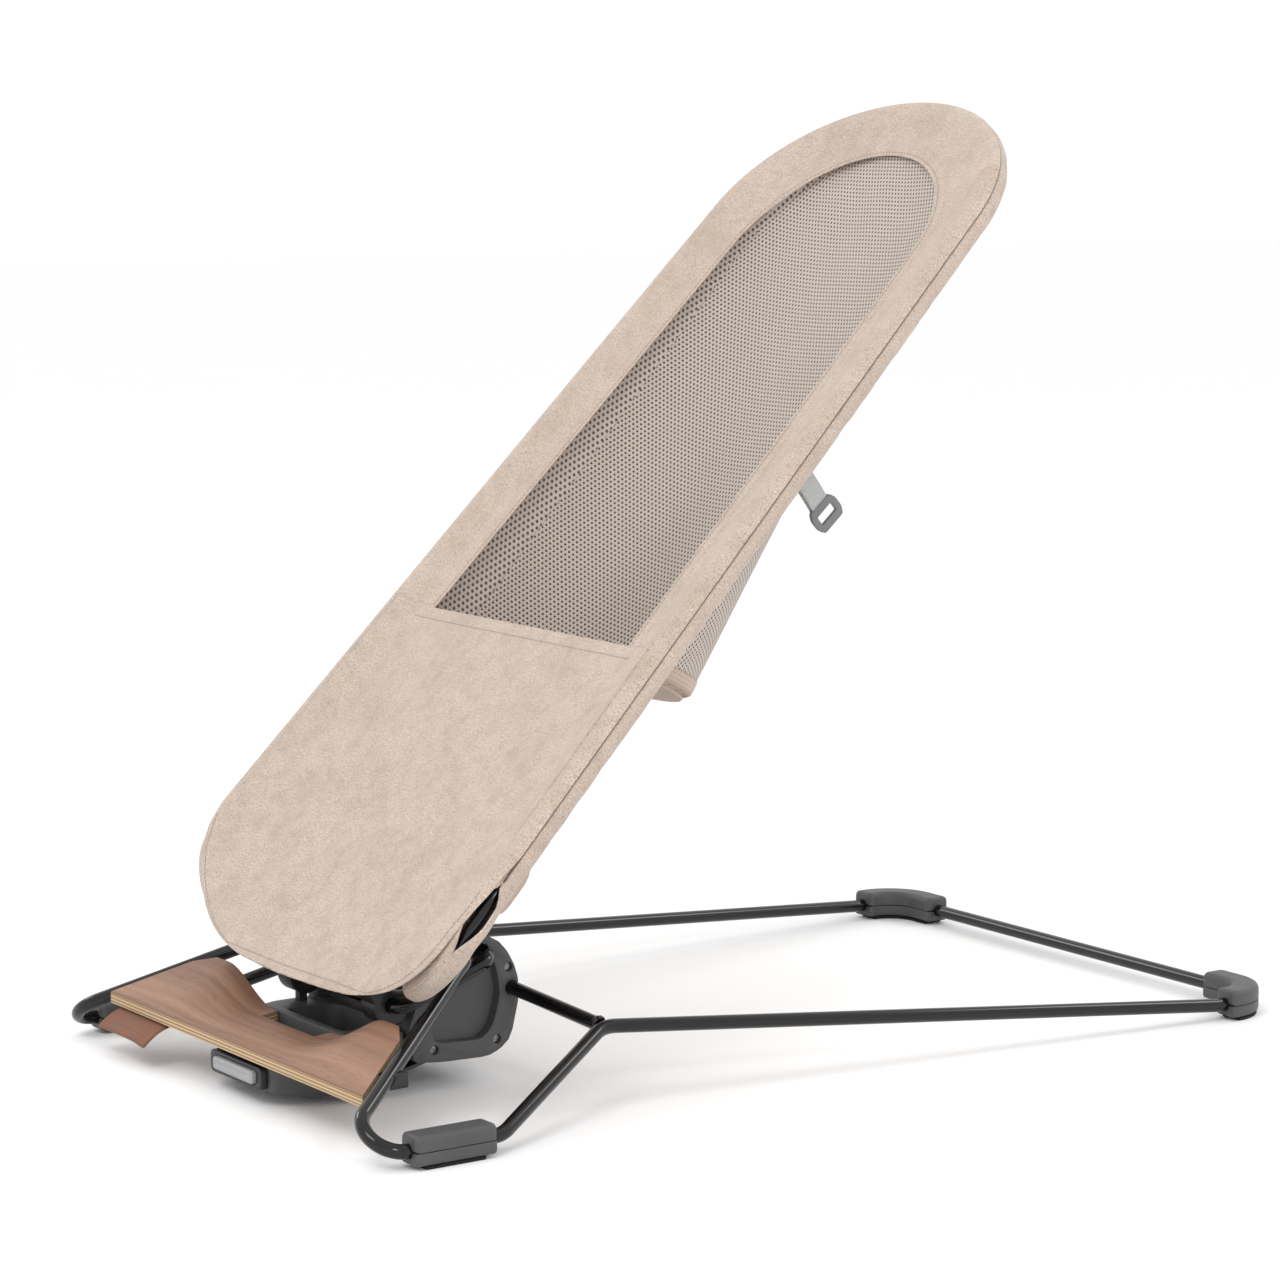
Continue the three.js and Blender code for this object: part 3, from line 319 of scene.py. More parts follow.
def bent_path(corners: Sequence[Array], radii: Sequence[float], step: float = 4.0, run: float = 0.02) -> Array:
    """A path through corners with a round bend at each.

    Args:
        corners: The corner points, ends included.
        radii: Bend radius at each inner corner.
        step: Degrees of bend to each point.
        run: Longest straight piece between points.

    Returns:
        Points along the path.
    """
    stations = [corners[0]]
    for i in range(1, len(corners) - 1):
        p = corners[i]
        back, ahead = unit(corners[i - 1] - p), unit(corners[i + 1] - p)
        turn = math.pi - math.acos(float(np.clip(np.dot(back, ahead), -1, 1)))
        r = radii[i - 1]
        centre = p + unit(back + ahead) * (r / math.cos(turn / 2))
        start = p + back * (r * math.tan(turn / 2)) - centre
        steps = max(3, math.ceil(math.degrees(turn) / step))
        for a in np.linspace(0, turn, steps + 1):
            stations.append(centre + start * math.cos(a) - back * (r * math.sin(a)))
    stations.append(corners[-1])
    out = [stations[0]]
    for a, b in zip(stations, stations[1:]):
        pieces = max(1, math.ceil(float(np.linalg.norm(b - a)) / run))
        out.extend(a + (b - a) * k / pieces for k in range(1, pieces + 1))
    return np.array(out)


def rounded_outline(points: Sequence[tuple[float, float]], radii: Sequence[float] | float, steps: int = 6) -> Array:
    """A closed outline with round corners.

    Args:
        points: Its corners.
        radii: One radius, or one for each corner.
        steps: Pieces in each corner.

    Returns:
        Points along the outline, N by 2.
    """
    out: list[Array] = []
    count = len(points)
    wanted = [radii] * count if isinstance(radii, (int, float)) else list(radii)
    for i, corner in enumerate(points):
        p, before, after = vec(*corner), vec(*points[i - 1]), vec(*points[(i + 1) % count])
        inward, outward = before - p, after - p
        r = min(wanted[i], 0.45 * float(np.linalg.norm(inward)), 0.45 * float(np.linalg.norm(outward)))
        if r <= 0:
            out.append(p)
            continue
        a, b = p + unit(inward) * r, p + unit(outward) * r
        for s in np.linspace(0, 1, steps + 1):
            out.append((1 - s) ** 2 * a + 2 * s * (1 - s) * p + s * s * b)
    return np.array(out)


def inset(outline: Array, distance: float) -> Array:
    """The outline moved inwards by a small distance, point by point.

    Args:
        outline: Points of a closed outline, N by 2.
        distance: How far inwards; negative grows it.

    Returns:
        The moved points.
    """
    ahead = np.roll(outline, -1, axis=0) - outline
    behind = outline - np.roll(outline, 1, axis=0)
    direction = unit(unit(ahead) + unit(behind))
    area = np.sum(outline[:, 0] * np.roll(outline[:, 1], -1) - np.roll(outline[:, 0], -1) * outline[:, 1])
    normal = np.stack([-direction[:, 1], direction[:, 0]], axis=1) * (1 if area > 0 else -1)
    return outline + normal * distance


def cloth_sheet(draft: Draft, surface: Array, uv: Array, thickness: float,
                slot: int = 0, back_slot: int | None = None) -> None:
    """A sheet of cloth with a thickness and soft rounded edges.

    Args:
        draft: Takes the faces.
        surface: Middle surface, rows by columns by 3.
        uv: Flat coordinates in metres, rows by columns by 2.
        thickness: The cloth's thickness.
        slot: Material slot of the face side.
        back_slot: Material slot of the back, if it differs.
    """
    across = np.gradient(surface, axis=1)
    down = np.gradient(surface, axis=0)
    normal = unit(np.cross(across, down))
    rows, columns = surface.shape[:2]
    ring = np.zeros((rows + 2, columns + 2, 3))
    ring[1:-1, 1:-1] = surface
    half = thickness / 2
    ring[0, 1:-1] = surface[0] - unit(down[0]) * half
    ring[-1, 1:-1] = surface[-1] + unit(down[-1]) * half
    ring[1:-1, 0] = surface[:, 0] - unit(across[:, 0]) * half
    ring[1:-1, -1] = surface[:, -1] + unit(across[:, -1]) * half
    for r, rr in ((0, 0), (-1, -1)):
        for c, cc in ((0, 0), (-1, -1)):
            step = unit(down[rr, cc]) * (-1 if r == 0 else 1) + unit(across[rr, cc]) * (-1 if c == 0 else 1)
            ring[r, c] = surface[rr, cc] + step * half * 0.7
    wide = np.pad(uv, ((1, 1), (1, 1), (0, 0)), mode="edge")
    index = np.full((rows + 2, columns + 2), -1)
    border = np.ones((rows + 2, columns + 2), bool)
    border[1:-1, 1:-1] = False
    first = draft.add(ring[border])
    index[border] = first + np.arange(border.sum())
    front, back = index.copy(), index.copy()
    first = draft.add((surface + normal * half).reshape(-1, 3))
    front[1:-1, 1:-1] = first + np.arange(rows * columns).reshape(rows, columns)
    first = draft.add((surface - normal * half).reshape(-1, 3))
    back[1:-1, 1:-1] = first + np.arange(rows * columns).reshape(rows, columns)
    draft.grid(front, wide, slot)
    draft.grid(back, wide, slot if back_slot is None else back_slot, flip=True)


def stitches(draft: Draft, path: Array, normal: Array, pitch: float = 0.0034, length: float = 0.0025,
             radius: float = 0.00035, slot: int = 0) -> None:
    """A row of stitches lying on cloth.

    Args:
        draft: Takes the faces.
        path: Points along the seam.
        normal: Direction out of the cloth at each point.
        pitch: Distance from one stitch to the next.
        length: Length of a stitch.
        radius: Radius of the thread.
        slot: Material slot of the thread.
    """
    run = travel(path)
    for start in np.arange(pitch / 2, run[-1] - pitch, pitch):
        ends = [np.array([np.interp(s, run, path[:, k]) for k in range(3)]) for s in (start, start + length)]
        out = unit(np.array([np.interp(start, run, normal[:, k]) for k in range(3)]))
        stations = np.array([ends[0] + (ends[1] - ends[0]) * s for s in (0.0, 0.15, 0.5, 0.85, 1.0)])
        lift = np.array([-0.6, 0.1, 0.45, 0.1, -0.6]) * radius
        size = np.array([0.45, 0.9, 1.0, 0.9, 0.45]) * radius
        loft(draft, tube_rings(stations + out * lift[:, None], size, 6), slot=slot)


# ------------------------------------------------------------------ shaders
class Kit:
    """Short ways to add and join nodes in one tree."""

    def __init__(self, tree: bpy.types.NodeTree) -> None:
        """Keeps the tree."""
        self.tree = tree

    def node(self, kind: str, inputs: dict[str | int, Any] | None = None, **settings: Any) -> bpy.types.Node:
        """Adds a node.

        Args:
            kind: Its type.
            inputs: Values or sockets for its inputs.
            **settings: Attributes to set on it.

        Returns:
            The node.
        """
        made = self.tree.nodes.new(kind)
        for key, value in settings.items():
            setattr(made, key, value)
        for key, value in (inputs or {}).items():
            if isinstance(value, Socket):
                self.tree.links.new(value, made.inputs[key])
            else:
                made.inputs[key].default_value = value
        return made

    def math(self, operation: str, a: Any, b: Any = 0.0, clamp: bool = False) -> Socket:
        """One sum, product or other operation on two numbers."""
        return self.node("ShaderNodeMath", {0: a, 1: b}, operation=operation, use_clamp=clamp).outputs[0]

    def mul(self, a: Any, b: Any, clamp: bool = False) -> Socket:
        """One number times another."""
        return self.math("MULTIPLY", a, b, clamp)

    def add(self, a: Any, b: Any, clamp: bool = False) -> Socket:
        """One number plus another."""
        return self.math("ADD", a, b, clamp)

    def sub(self, a: Any, b: Any, clamp: bool = False) -> Socket:
        """One number less another."""
        return self.math("SUBTRACT", a, b, clamp)

    def vector(self, operation: str, a: Any, b: Any) -> bpy.types.Node:
        """One operation on two vectors."""
        return self.node("ShaderNodeVectorMath", {0: a, 1: b}, operation=operation)

    def scaled(self, vector: Socket, x: float, y: float, z: float = 1.0) -> Socket:
        """A vector times fixed factors."""
        return self.vector("MULTIPLY", vector, (x, y, z)).outputs[0]

    def mix(self, factor: Any, a: Any, b: Any, blend: str = "MIX") -> Socket:
        """Two colours mixed."""
        made = self.node("ShaderNodeMix", {0: factor, 6: a, 7: b}, data_type="RGBA", blend_type=blend)
        return made.outputs[2]

    def noise(self, vector: Socket, scale: float, detail: float = 3.0, rough: float = 0.5) -> Socket:
        """Noise between 0 and 1."""
        made = self.node("ShaderNodeTexNoise", {"Vector": vector, "Scale": scale, "Detail": detail, "Roughness": rough})
        return made.outputs[0]

    def ramp(self, value: Socket, low: float, high: float, a: float = 0.0, b: float = 1.0) -> Socket:
        """A number mapped smoothly from one range to another."""
        made = self.node("ShaderNodeMapRange", {0: value, 1: low, 2: high, 3: a, 4: b}, interpolation_type="SMOOTHSTEP")
        return made.outputs[0]

    def bump(self, height: Socket, distance: float, strength: float = 1.0, normal: Socket | None = None) -> Socket:
        """A normal from a height."""
        inputs: dict[str | int, Any] = {"Height": height, "Distance": distance, "Strength": strength}
        if normal is not None:
            inputs["Normal"] = normal
        return self.node("ShaderNodeBump", inputs).outputs[0]


def rgb(r: float, g: float, b: float) -> tuple[float, float, float, float]:
    """An opaque colour."""
    return (r, g, b, 1.0)


def new_group(name: str, inputs: Sequence[tuple[str, str, Any]],
              outputs: Sequence[tuple[str, str]]) -> tuple[Kit, Any, Any]:
    """Starts a shader node group.

    Args:
        name: The group's name.
        inputs: Name, socket type and default of each input.
        outputs: Name and socket type of each output.

    Returns:
        A kit for its tree, and its input and output nodes.
    """
    tree = bpy.data.node_groups.new(name, "ShaderNodeTree")
    for label, kind, default in inputs:
        socket = tree.interface.new_socket(name=label, in_out="INPUT", socket_type=kind)
        socket.default_value = default
    for label, kind in outputs:
        tree.interface.new_socket(name=label, in_out="OUTPUT", socket_type=kind)
    kit = Kit(tree)
    return kit, kit.node("NodeGroupInput").outputs, kit.node("NodeGroupOutput").inputs


F, V, C = "NodeSocketFloat", "NodeSocketVector", "NodeSocketColor"


class Effects:
    """The shared shader groups, each built once."""

    def __init__(self) -> None:
        """Builds every group."""
        self.heather = self._heather()
        self.twill = self._twill()
        self.honeycomb = self._honeycomb()
        self.ribs = self._ribs()
        self.grain = self._grain()
        self.wear = self._wear()

    @staticmethod
    def _heather() -> bpy.types.NodeTree:
        """Melange yarn: cloudy patches, long fibres and darker flecks."""
        kit, i, o = new_group("Heathered yarn", [
            ("Vector", V, (0, 0, 0)), ("Base", C, rgb(.6, .5, .4)), ("Tone",
             C, rgb(.5, .4, .3)), ("Fleck", C, rgb(.3, .2, .15)),
            ("Cloud", F, 0.5), ("Flecks", F, 0.5)], [("Color", C), ("Fleck mask", F)])
        vector = i["Vector"]
        cloud = kit.ramp(kit.noise(vector, 22.0, 6.0, 0.68), 0.36, 0.66)
        patch = kit.ramp(kit.noise(vector, 90.0, 4.0, 0.7), 0.42, 0.68)
        both = kit.mul(kit.add(kit.mul(cloud, 0.34), kit.mul(patch, 0.30)), i["Cloud"], True)
        ground = kit.mix(both, i["Base"], i["Tone"])
        grain = kit.ramp(kit.noise(kit.scaled(vector, 1050.0, 620.0), 1.0, 3.0, 0.8), 0.40, 0.62)
        ground = kit.mix(kit.mul(grain, kit.mul(i["Cloud"], 0.85)), ground, i["Tone"])
        long_way = kit.ramp(kit.noise(kit.scaled(vector, 240.0, 1500.0), 1.0, 2.0), 0.56, 0.7)
        cross_way = kit.ramp(kit.noise(kit.scaled(vector, 1700.0, 300.0), 1.0, 2.0), 0.58, 0.72)
        flecks = kit.mul(kit.math("MAXIMUM", long_way, cross_way), i["Flecks"], True)
        kit.tree.links.new(kit.mix(flecks, ground, i["Fleck"]), o["Color"])
        kit.tree.links.new(flecks, o["Fleck mask"])
        return kit.tree

    @staticmethod
    def _twill() -> bpy.types.NodeTree:
        """Diagonal twill lines crossed by the yarns."""
        kit, i, o = new_group(
    "Twill weave", [
        ("Vector", V, (0, 0, 0)), ("Per metre", F, 900.0), ("Fuzz", F, 0.3)], [
            ("Height", F)])
        parts = kit.node("ShaderNodeSeparateXYZ", {0: i["Vector"]}).outputs
        turn = kit.mul(i["Per metre"], 2 * math.pi)
        diagonal = kit.math("SINE", kit.mul(kit.add(parts[0], parts[1]), turn))
        cross = kit.math("SINE", kit.mul(kit.sub(parts[0], kit.mul(parts[1], 0.35)), turn))
        weave = kit.add(kit.mul(diagonal, 0.34), kit.mul(cross, 0.16))
        fuzz = kit.mul(kit.noise(i["Vector"], 1400.0, 3.0, 0.7), i["Fuzz"])
        kit.tree.links.new(kit.add(kit.add(weave, fuzz), 0.5), o["Height"])
        return kit.tree

    @staticmethod
    def _honeycomb() -> bpy.types.NodeTree:
        """Six-sided holes on a regular lattice, with the hole mask and the yarn height between them."""
        kit, i, o = new_group("Honeycomb holes", [("Vector", V, (0, 0, 0)), ("Pitch", F, 0.003), ("Open", F, 0.3)],
                              [("Hole", F), ("Height", F)])
        wave = kit.math("DIVIDE", 4 * math.pi / math.sqrt(3), i["Pitch"])
        total: Socket | None = None
        for a in (0.0, 60.0, 120.0):
            direction = (math.sin(math.radians(a)), math.cos(math.radians(a)), 0.0)
            dot = kit.vector("DOT_PRODUCT", i["Vector"], direction).outputs["Value"]
            term = kit.math("COSINE", kit.mul(dot, wave))
            total = term if total is None else kit.add(total, term)
        level = kit.mul(kit.add(total, 1.5), 1 / 4.5)
        edge = kit.sub(1.0, i["Open"])
        hole = kit.node("ShaderNodeMapRange", {0: level, 1: kit.sub(edge, 0.07), 2: kit.add(edge, 0.07)},
                        interpolation_type="SMOOTHSTEP").outputs[0]
        kit.tree.links.new(hole, o["Hole"])
        kit.tree.links.new(kit.sub(1.0, kit.math("POWER", level, 1.5)), o["Height"])
        return kit.tree

    @staticmethod
    def _ribs() -> bpy.types.NodeTree:
        """Knitted or woven ribs that run along the second direction, with loops across them."""
        kit, i, o = new_group("Ribs", [("Vector", V, (0, 0, 0)), ("Ribs per metre", F, 450.0),
                                       ("Loops per metre", F, 600.0),
                                       ("Slant", F, 0.4)], [("Height", F), ("Valley", F)])
        parts = kit.node("ShaderNodeSeparateXYZ", {0: i["Vector"]}).outputs
        phase = kit.mul(kit.mul(parts[0], i["Ribs per metre"]), 2 * math.pi)
        rib = kit.math("ABSOLUTE", kit.math("SINE", kit.mul(phase, 0.5)))
        slant = kit.mul(kit.math("COSINE", phase), i["Slant"])
        loops = kit.mul(kit.mul(parts[1], i["Loops per metre"]), 2 * math.pi)
        loop = kit.math("SINE", kit.add(loops, kit.mul(slant, 3.0)))
        height = kit.mul(rib, kit.add(kit.mul(loop, 0.22), 0.78))
        kit.tree.links.new(height, o["Height"])
        kit.tree.links.new(kit.ramp(rib, 0.35, 0.0), o["Valley"])
        return kit.tree

    @staticmethod
    def _grain() -> bpy.types.NodeTree:
        """Fine moulded grain, with slow changes of gloss."""
        kit, i, o = new_group("Fine grain", [("Vector", V, (0, 0, 0)), ("Scale", F, 900.0), ("Roughness", F, 0.5),
                                             ("Spread", F, 0.12)],
                              [("Height", F), ("Roughness", F)])
        fine = kit.node("ShaderNodeTexNoise", {"Vector": i["Vector"], "Scale": i["Scale"], "Detail": 2.0}).outputs[0]
        slow = kit.noise(i["Vector"], 38.0, 4.0, 0.6)
        kit.tree.links.new(fine, o["Height"])
        shift = kit.mul(kit.sub(slow, 0.5), i["Spread"])
        kit.tree.links.new(kit.add(i["Roughness"], shift, True), o["Roughness"])
        return kit.tree

    @staticmethod
    def _wear() -> bpy.types.NodeTree:
        """Scuffs that gather low down, and rubbed edges."""
        kit, i, o = new_group("Scuffs and rubbed edges", [("Vector", V, (0, 0, 0)), ("Low", F, 0.02),
                                                          ("Amount", F, 0.5)],
                              [("Scuff", F), ("Edge", F)])
        height = kit.node("ShaderNodeSeparateXYZ", {0: i["Vector"]}).outputs[2]
        low = kit.sub(1.0, kit.math("DIVIDE", height, i["Low"], True), True)
        streak = kit.ramp(kit.noise(kit.scaled(i["Vector"], 260.0, 90.0, 700.0), 1.0, 4.0, 0.7), 0.56, 0.72)
        kit.tree.links.new(kit.mul(kit.mul(low, streak), i["Amount"], True), o["Scuff"])
        sharp = kit.node("ShaderNodeNewGeometry").outputs["Pointiness"]
        broken = kit.ramp(kit.noise(i["Vector"], 160.0, 3.0), 0.35, 0.65, 0.3, 1.0)
        edge = kit.mul(kit.ramp(sharp, 0.53, 0.62), broken)
        kit.tree.links.new(kit.mul(edge, i["Amount"], True), o["Edge"])
        return kit.tree


class Finish:
    """A material being put together: its tree, its shader and the shared groups."""

    def __init__(self, name: str, effects: Effects, **constants: Any) -> None:
        """Starts the material.

        Args:
            name: The material's name.
            effects: The shared groups.
            **constants: Values set on the shader's own sockets, underscores standing for spaces.
        """
        self.material = bpy.data.materials.new(name)
        self.material.use_nodes = True
        self.kit = Kit(self.material.node_tree)
        self.effects = effects
        self.shader = self.material.node_tree.nodes["Principled BSDF"]
        for key, value in constants.items():
            self.shader.inputs[key.replace("_", " ")].default_value = value
        coordinates = self.kit.node("ShaderNodeTexCoord").outputs
        self.flat, self.space = coordinates["UV"], coordinates["Object"]

    def group(self, tree: bpy.types.NodeTree, **inputs: Any) -> Any:
        """Places a shared group.

        Args:
            tree: The group.
            **inputs: Values or sockets, underscores standing for spaces.

        Returns:
            Its outputs.
        """
        named = {key.replace("_", " "): value for key, value in inputs.items()}
        return self.kit.node("ShaderNodeGroup", named, node_tree=tree).outputs

    def feed(self, **sockets: Socket) -> bpy.types.Material:
        """Joins sockets to the shader.

        Args:
            **sockets: Sockets by input name, underscores standing for spaces.

        Returns:
            The finished material.
        """
        for key, value in sockets.items():
            self.kit.tree.links.new(value, self.shader.inputs[key.replace("_", " ")])
        return self.material


@dataclass(frozen=True)
class GlossBlackCoat:
    """Gloss black powder coat on the wire frame."""

    colour: Triple = (0.004, 0.004, 0.0045)
    roughness: float = 0.13

    def build(self, effects: Effects) -> bpy.types.Material:
        """Builds the material."""
        f = Finish("Gloss black coat", effects, Coat_Weight=0.3, Coat_Roughness=0.05, Specular_IOR_Level=0.28)
        grain = f.group(effects.grain, Vector=f.space, Scale=420.0, Roughness=self.roughness, Spread=0.05)
        wear = f.group(effects.wear, Vector=f.space, Low=0.012, Amount=0.22)
        worn = f.kit.math("MAXIMUM", wear["Scuff"], f.kit.mul(wear["Edge"], 0.12))
        colour = f.kit.mix(worn, rgb(*self.colour), rgb(0.05, 0.05, 0.05))
        rough = f.kit.add(grain["Roughness"], f.kit.mul(wear["Scuff"], 0.4), True)
        return f.feed(Base_Color=colour, Roughness=rough, Normal=f.kit.bump(grain["Height"], 0.00006, 0.35))


@dataclass(frozen=True)
class MouldedPlastic:
    """Injection-moulded plastic with a fine spark grain."""

    name: str
    colour: Triple
    roughness: float = 0.5
    low: float = 0.02
    grain: float = 1500.0

    def build(self, effects: Effects) -> bpy.types.Material:
        """Builds the material."""
        f = Finish(self.name, effects, Specular_IOR_Level=0.45)
        grain = f.group(effects.grain, Vector=f.space, Scale=self.grain, Roughness=self.roughness, Spread=0.14)
        wear = f.group(effects.wear, Vector=f.space, Low=self.low, Amount=0.6)
        tone = f.kit.ramp(f.kit.noise(f.space, 26.0, 4.0), 0.3, 0.7)
        dark = rgb(*(c * 0.86 for c in self.colour))
        pale = rgb(*(min(c * 1.7 + 0.02, 1.0) for c in self.colour))
        colour = f.kit.mix(tone, dark, rgb(*self.colour))
        colour = f.kit.mix(f.kit.math("MAXIMUM", wear["Scuff"], f.kit.mul(wear["Edge"], 0.55)), colour, pale)
        return f.feed(Base_Color=colour, Roughness=grain["Roughness"], Normal=f.kit.bump(grain["Height"], 0.00012, 0.5))


@dataclass(frozen=True)
class SoleRubber:
    """Dark soft rubber of the soles."""

    colour: Triple = (0.012, 0.012, 0.013)

    def build(self, effects: Effects) -> bpy.types.Material:
        """Builds the material."""
        f = Finish("Sole rubber", effects, Specular_IOR_Level=0.3)
        grain = f.group(effects.grain, Vector=f.space, Scale=2200.0, Roughness=0.85, Spread=0.15)
        dust = f.kit.ramp(f.kit.noise(f.space, 180.0, 5.0, 0.7), 0.5, 0.75, 0.0, 0.5)
        colour = f.kit.mix(dust, rgb(*self.colour), rgb(0.05, 0.048, 0.045))
        return f.feed(Base_Color=colour, Roughness=grain["Roughness"], Normal=f.kit.bump(grain["Height"], 0.0002, 0.6))


@dataclass(frozen=True)
class ZincSteel:
    """Zinc-plated steel of the screws and latch springs."""

    colour: Triple = (0.36, 0.37, 0.38)

    def build(self, effects: Effects) -> bpy.types.Material:
        """Builds the material."""
        f = Finish("Zinc steel", effects, Metallic=1.0)
        grain = f.group(effects.grain, Vector=f.space, Scale=1300.0, Roughness=0.34, Spread=0.25)
        bloom = f.kit.ramp(f.kit.noise(f.space, 420.0, 4.0), 0.45, 0.7)
        colour = f.kit.mix(bloom, rgb(*self.colour), rgb(0.22, 0.22, 0.23))
        return f.feed(Base_Color=colour, Roughness=grain["Roughness"], Normal=f.kit.bump(grain["Height"], 0.00003, 0.4))


@dataclass(frozen=True)
class WalnutVeneer:
    """Oiled walnut veneer, its grain along the board's front edge."""

    pale: Triple = (0.34, 0.185, 0.115)
    dark: Triple = (0.155, 0.075, 0.045)
    pore: Triple = (0.06, 0.03, 0.02)

    def build(self, effects: Effects) -> bpy.types.Material:
        """Builds the material."""
        f = Finish("Walnut veneer", effects, Specular_IOR_Level=0.4)
        k = f.kit
        drift = k.noise(k.scaled(f.space, 5.0, 16.0, 1.0), 1.0, 2.0)
        bend = k.node("ShaderNodeCombineXYZ", {0: 0.0, 1: k.mul(drift, 0.02), 2: 0.0}).outputs[0]
        across = k.vector("ADD", f.space, bend).outputs[0]
        bands = k.ramp(k.noise(k.scaled(across, 4.0, 150.0, 0.0), 1.0, 4.0, 0.6), 0.3, 0.7)
        wide = k.ramp(k.noise(k.scaled(across, 2.5, 38.0, 0.0), 1.0, 3.0), 0.32, 0.7)
        tone = k.add(k.mul(bands, 0.55), k.mul(wide, 0.5), True)
        pores = k.ramp(k.noise(k.scaled(across, 60.0, 1500.0, 0.0), 1.0, 2.0), 0.6, 0.74)
        colour = k.mix(tone, rgb(*self.pale), rgb(*self.dark))
        colour = k.mix(k.mul(pores, 0.6), colour, rgb(*self.pore))
        rough = k.add(k.mul(pores, 0.2), k.add(k.mul(tone, 0.1), 0.42), True)
        height = k.sub(k.mul(tone, 0.2), pores)
        return f.feed(Base_Color=colour, Roughness=rough, Normal=k.bump(height, 0.00012, 0.5))


@dataclass(frozen=True)
class PlyEdge:
    """The board's cut edge: pale plies between thin dark glue lines, walnut outermost."""

    thickness: float = 0.008
    plies: int = 7

    def build(self, effects: Effects) -> bpy.types.Material:
        """Builds the material."""
        f = Finish("Ply edge", effects, Specular_IOR_Level=0.35)
        k = f.kit
        depth = k.node("ShaderNodeSeparateXYZ", {0: f.flat}).outputs[1]
        layer = k.mul(depth, self.plies / self.thickness)
        odd = k.ramp(k.math("SINE", k.mul(layer, math.pi)), -0.25, 0.25)
        streak = k.noise(k.scaled(f.flat, 900.0, 3000.0, 0.0), 1.0, 3.0, 0.7)
        pale = k.mix(streak, rgb(0.66, 0.50, 0.31), rgb(0.50, 0.35, 0.20))
        warm = k.mix(streak, rgb(0.36, 0.23, 0.12), rgb(0.24, 0.14, 0.07))
        colour = k.mix(odd, warm, pale)
        glue = k.math("ABSOLUTE", k.sub(k.math("FRACT", layer), 0.5))
        line = k.ramp(glue, 0.44, 0.5)
        colour = k.mix(k.mul(line, 0.6), colour, rgb(0.10, 0.055, 0.03))
        skin = k.math("LESS_THAN", depth, 0.0009)
        colour = k.mix(skin, colour, rgb(0.22, 0.115, 0.07))
        return f.feed(Base_Color=colour, Roughness=k.ramp(streak, 0.2, 0.8, 0.5, 0.75),
                      Normal=k.bump(k.sub(streak, line), 0.00015, 0.5))


@dataclass(frozen=True)
class TagLeather:
    """Vegetable-tanned leather of the small tag."""

    colour: Triple = (0.19, 0.062, 0.022)

    def build(self, effects: Effects) -> bpy.types.Material:
        """Builds the material."""
        f = Finish("Tag leather", effects, Specular_IOR_Level=0.4, Sheen_Weight=0.1)
        k = f.kit
        cells = k.node("ShaderNodeTexVoronoi", {"Vector": f.flat,
                       "Scale": 1100.0}, feature="DISTANCE_TO_EDGE").outputs[0]
        crease = k.ramp(cells, 0.0, 0.18)
        cloud = k.ramp(k.noise(f.flat, 60.0, 5.0, 0.6), 0.3, 0.7)
        colour = k.mix(cloud, rgb(*(c * 0.7 for c in self.colour)), rgb(*(min(c * 1.25, 1) for c in self.colour)))
        # Painted shade: the creases between the grain's cells are darkened.
        colour = k.mix(k.mul(k.sub(1.0, crease), 0.35), colour, rgb(0.06, 0.02, 0.01))
        return f.feed(Base_Color=colour, Roughness=k.ramp(
            cloud, 0.2, 0.8, 0.48, 0.66), Normal=k.bump(crease, 0.00012, 0.5))


@dataclass(frozen=True)
class HeatherTwill:
    """Brushed melange twill of the seat cover."""

    name: str = "Heather twill"
    base: Triple = (0.64, 0.535, 0.455)
    tone: Triple = (0.36, 0.275, 0.215)
    fleck: Triple = (0.20, 0.135, 0.095)

    def build(self, effects: Effects) -> bpy.types.Material:
        """Builds the material."""
        f = Finish(self.name, effects, Sheen_Weight=0.25, Sheen_Roughness=0.5, Specular_IOR_Level=0.2)
        k = f.kit
        yarn = f.group(effects.heather, Vector=f.flat, Base=rgb(*self.base), Tone=rgb(*self.tone),
                       Fleck=rgb(*self.fleck),
                       Cloud=0.8, Flecks=0.42)
        weave = f.group(effects.twill, Vector=f.flat, Per_metre=780.0, Fuzz=0.5)
        # Painted shade and highlight: the colour is darkened in the weave's valleys and lightened a little on its
        # ridges, following the weave's height.
        shade = k.ramp(weave["Height"], 0.3, 0.75, 0.86, 1.04)
        colour = k.mix(
    1.0, yarn["Color"], k.node(
        "ShaderNodeCombineColor", {
            0: shade, 1: shade, 2: shade}).outputs[0], "MULTIPLY")
        rough = k.add(k.mul(yarn["Fleck mask"], -0.08), 0.93)
        return f.feed(Base_Color=colour, Roughness=rough, Normal=k.bump(weave["Height"], 0.00035, 0.75))


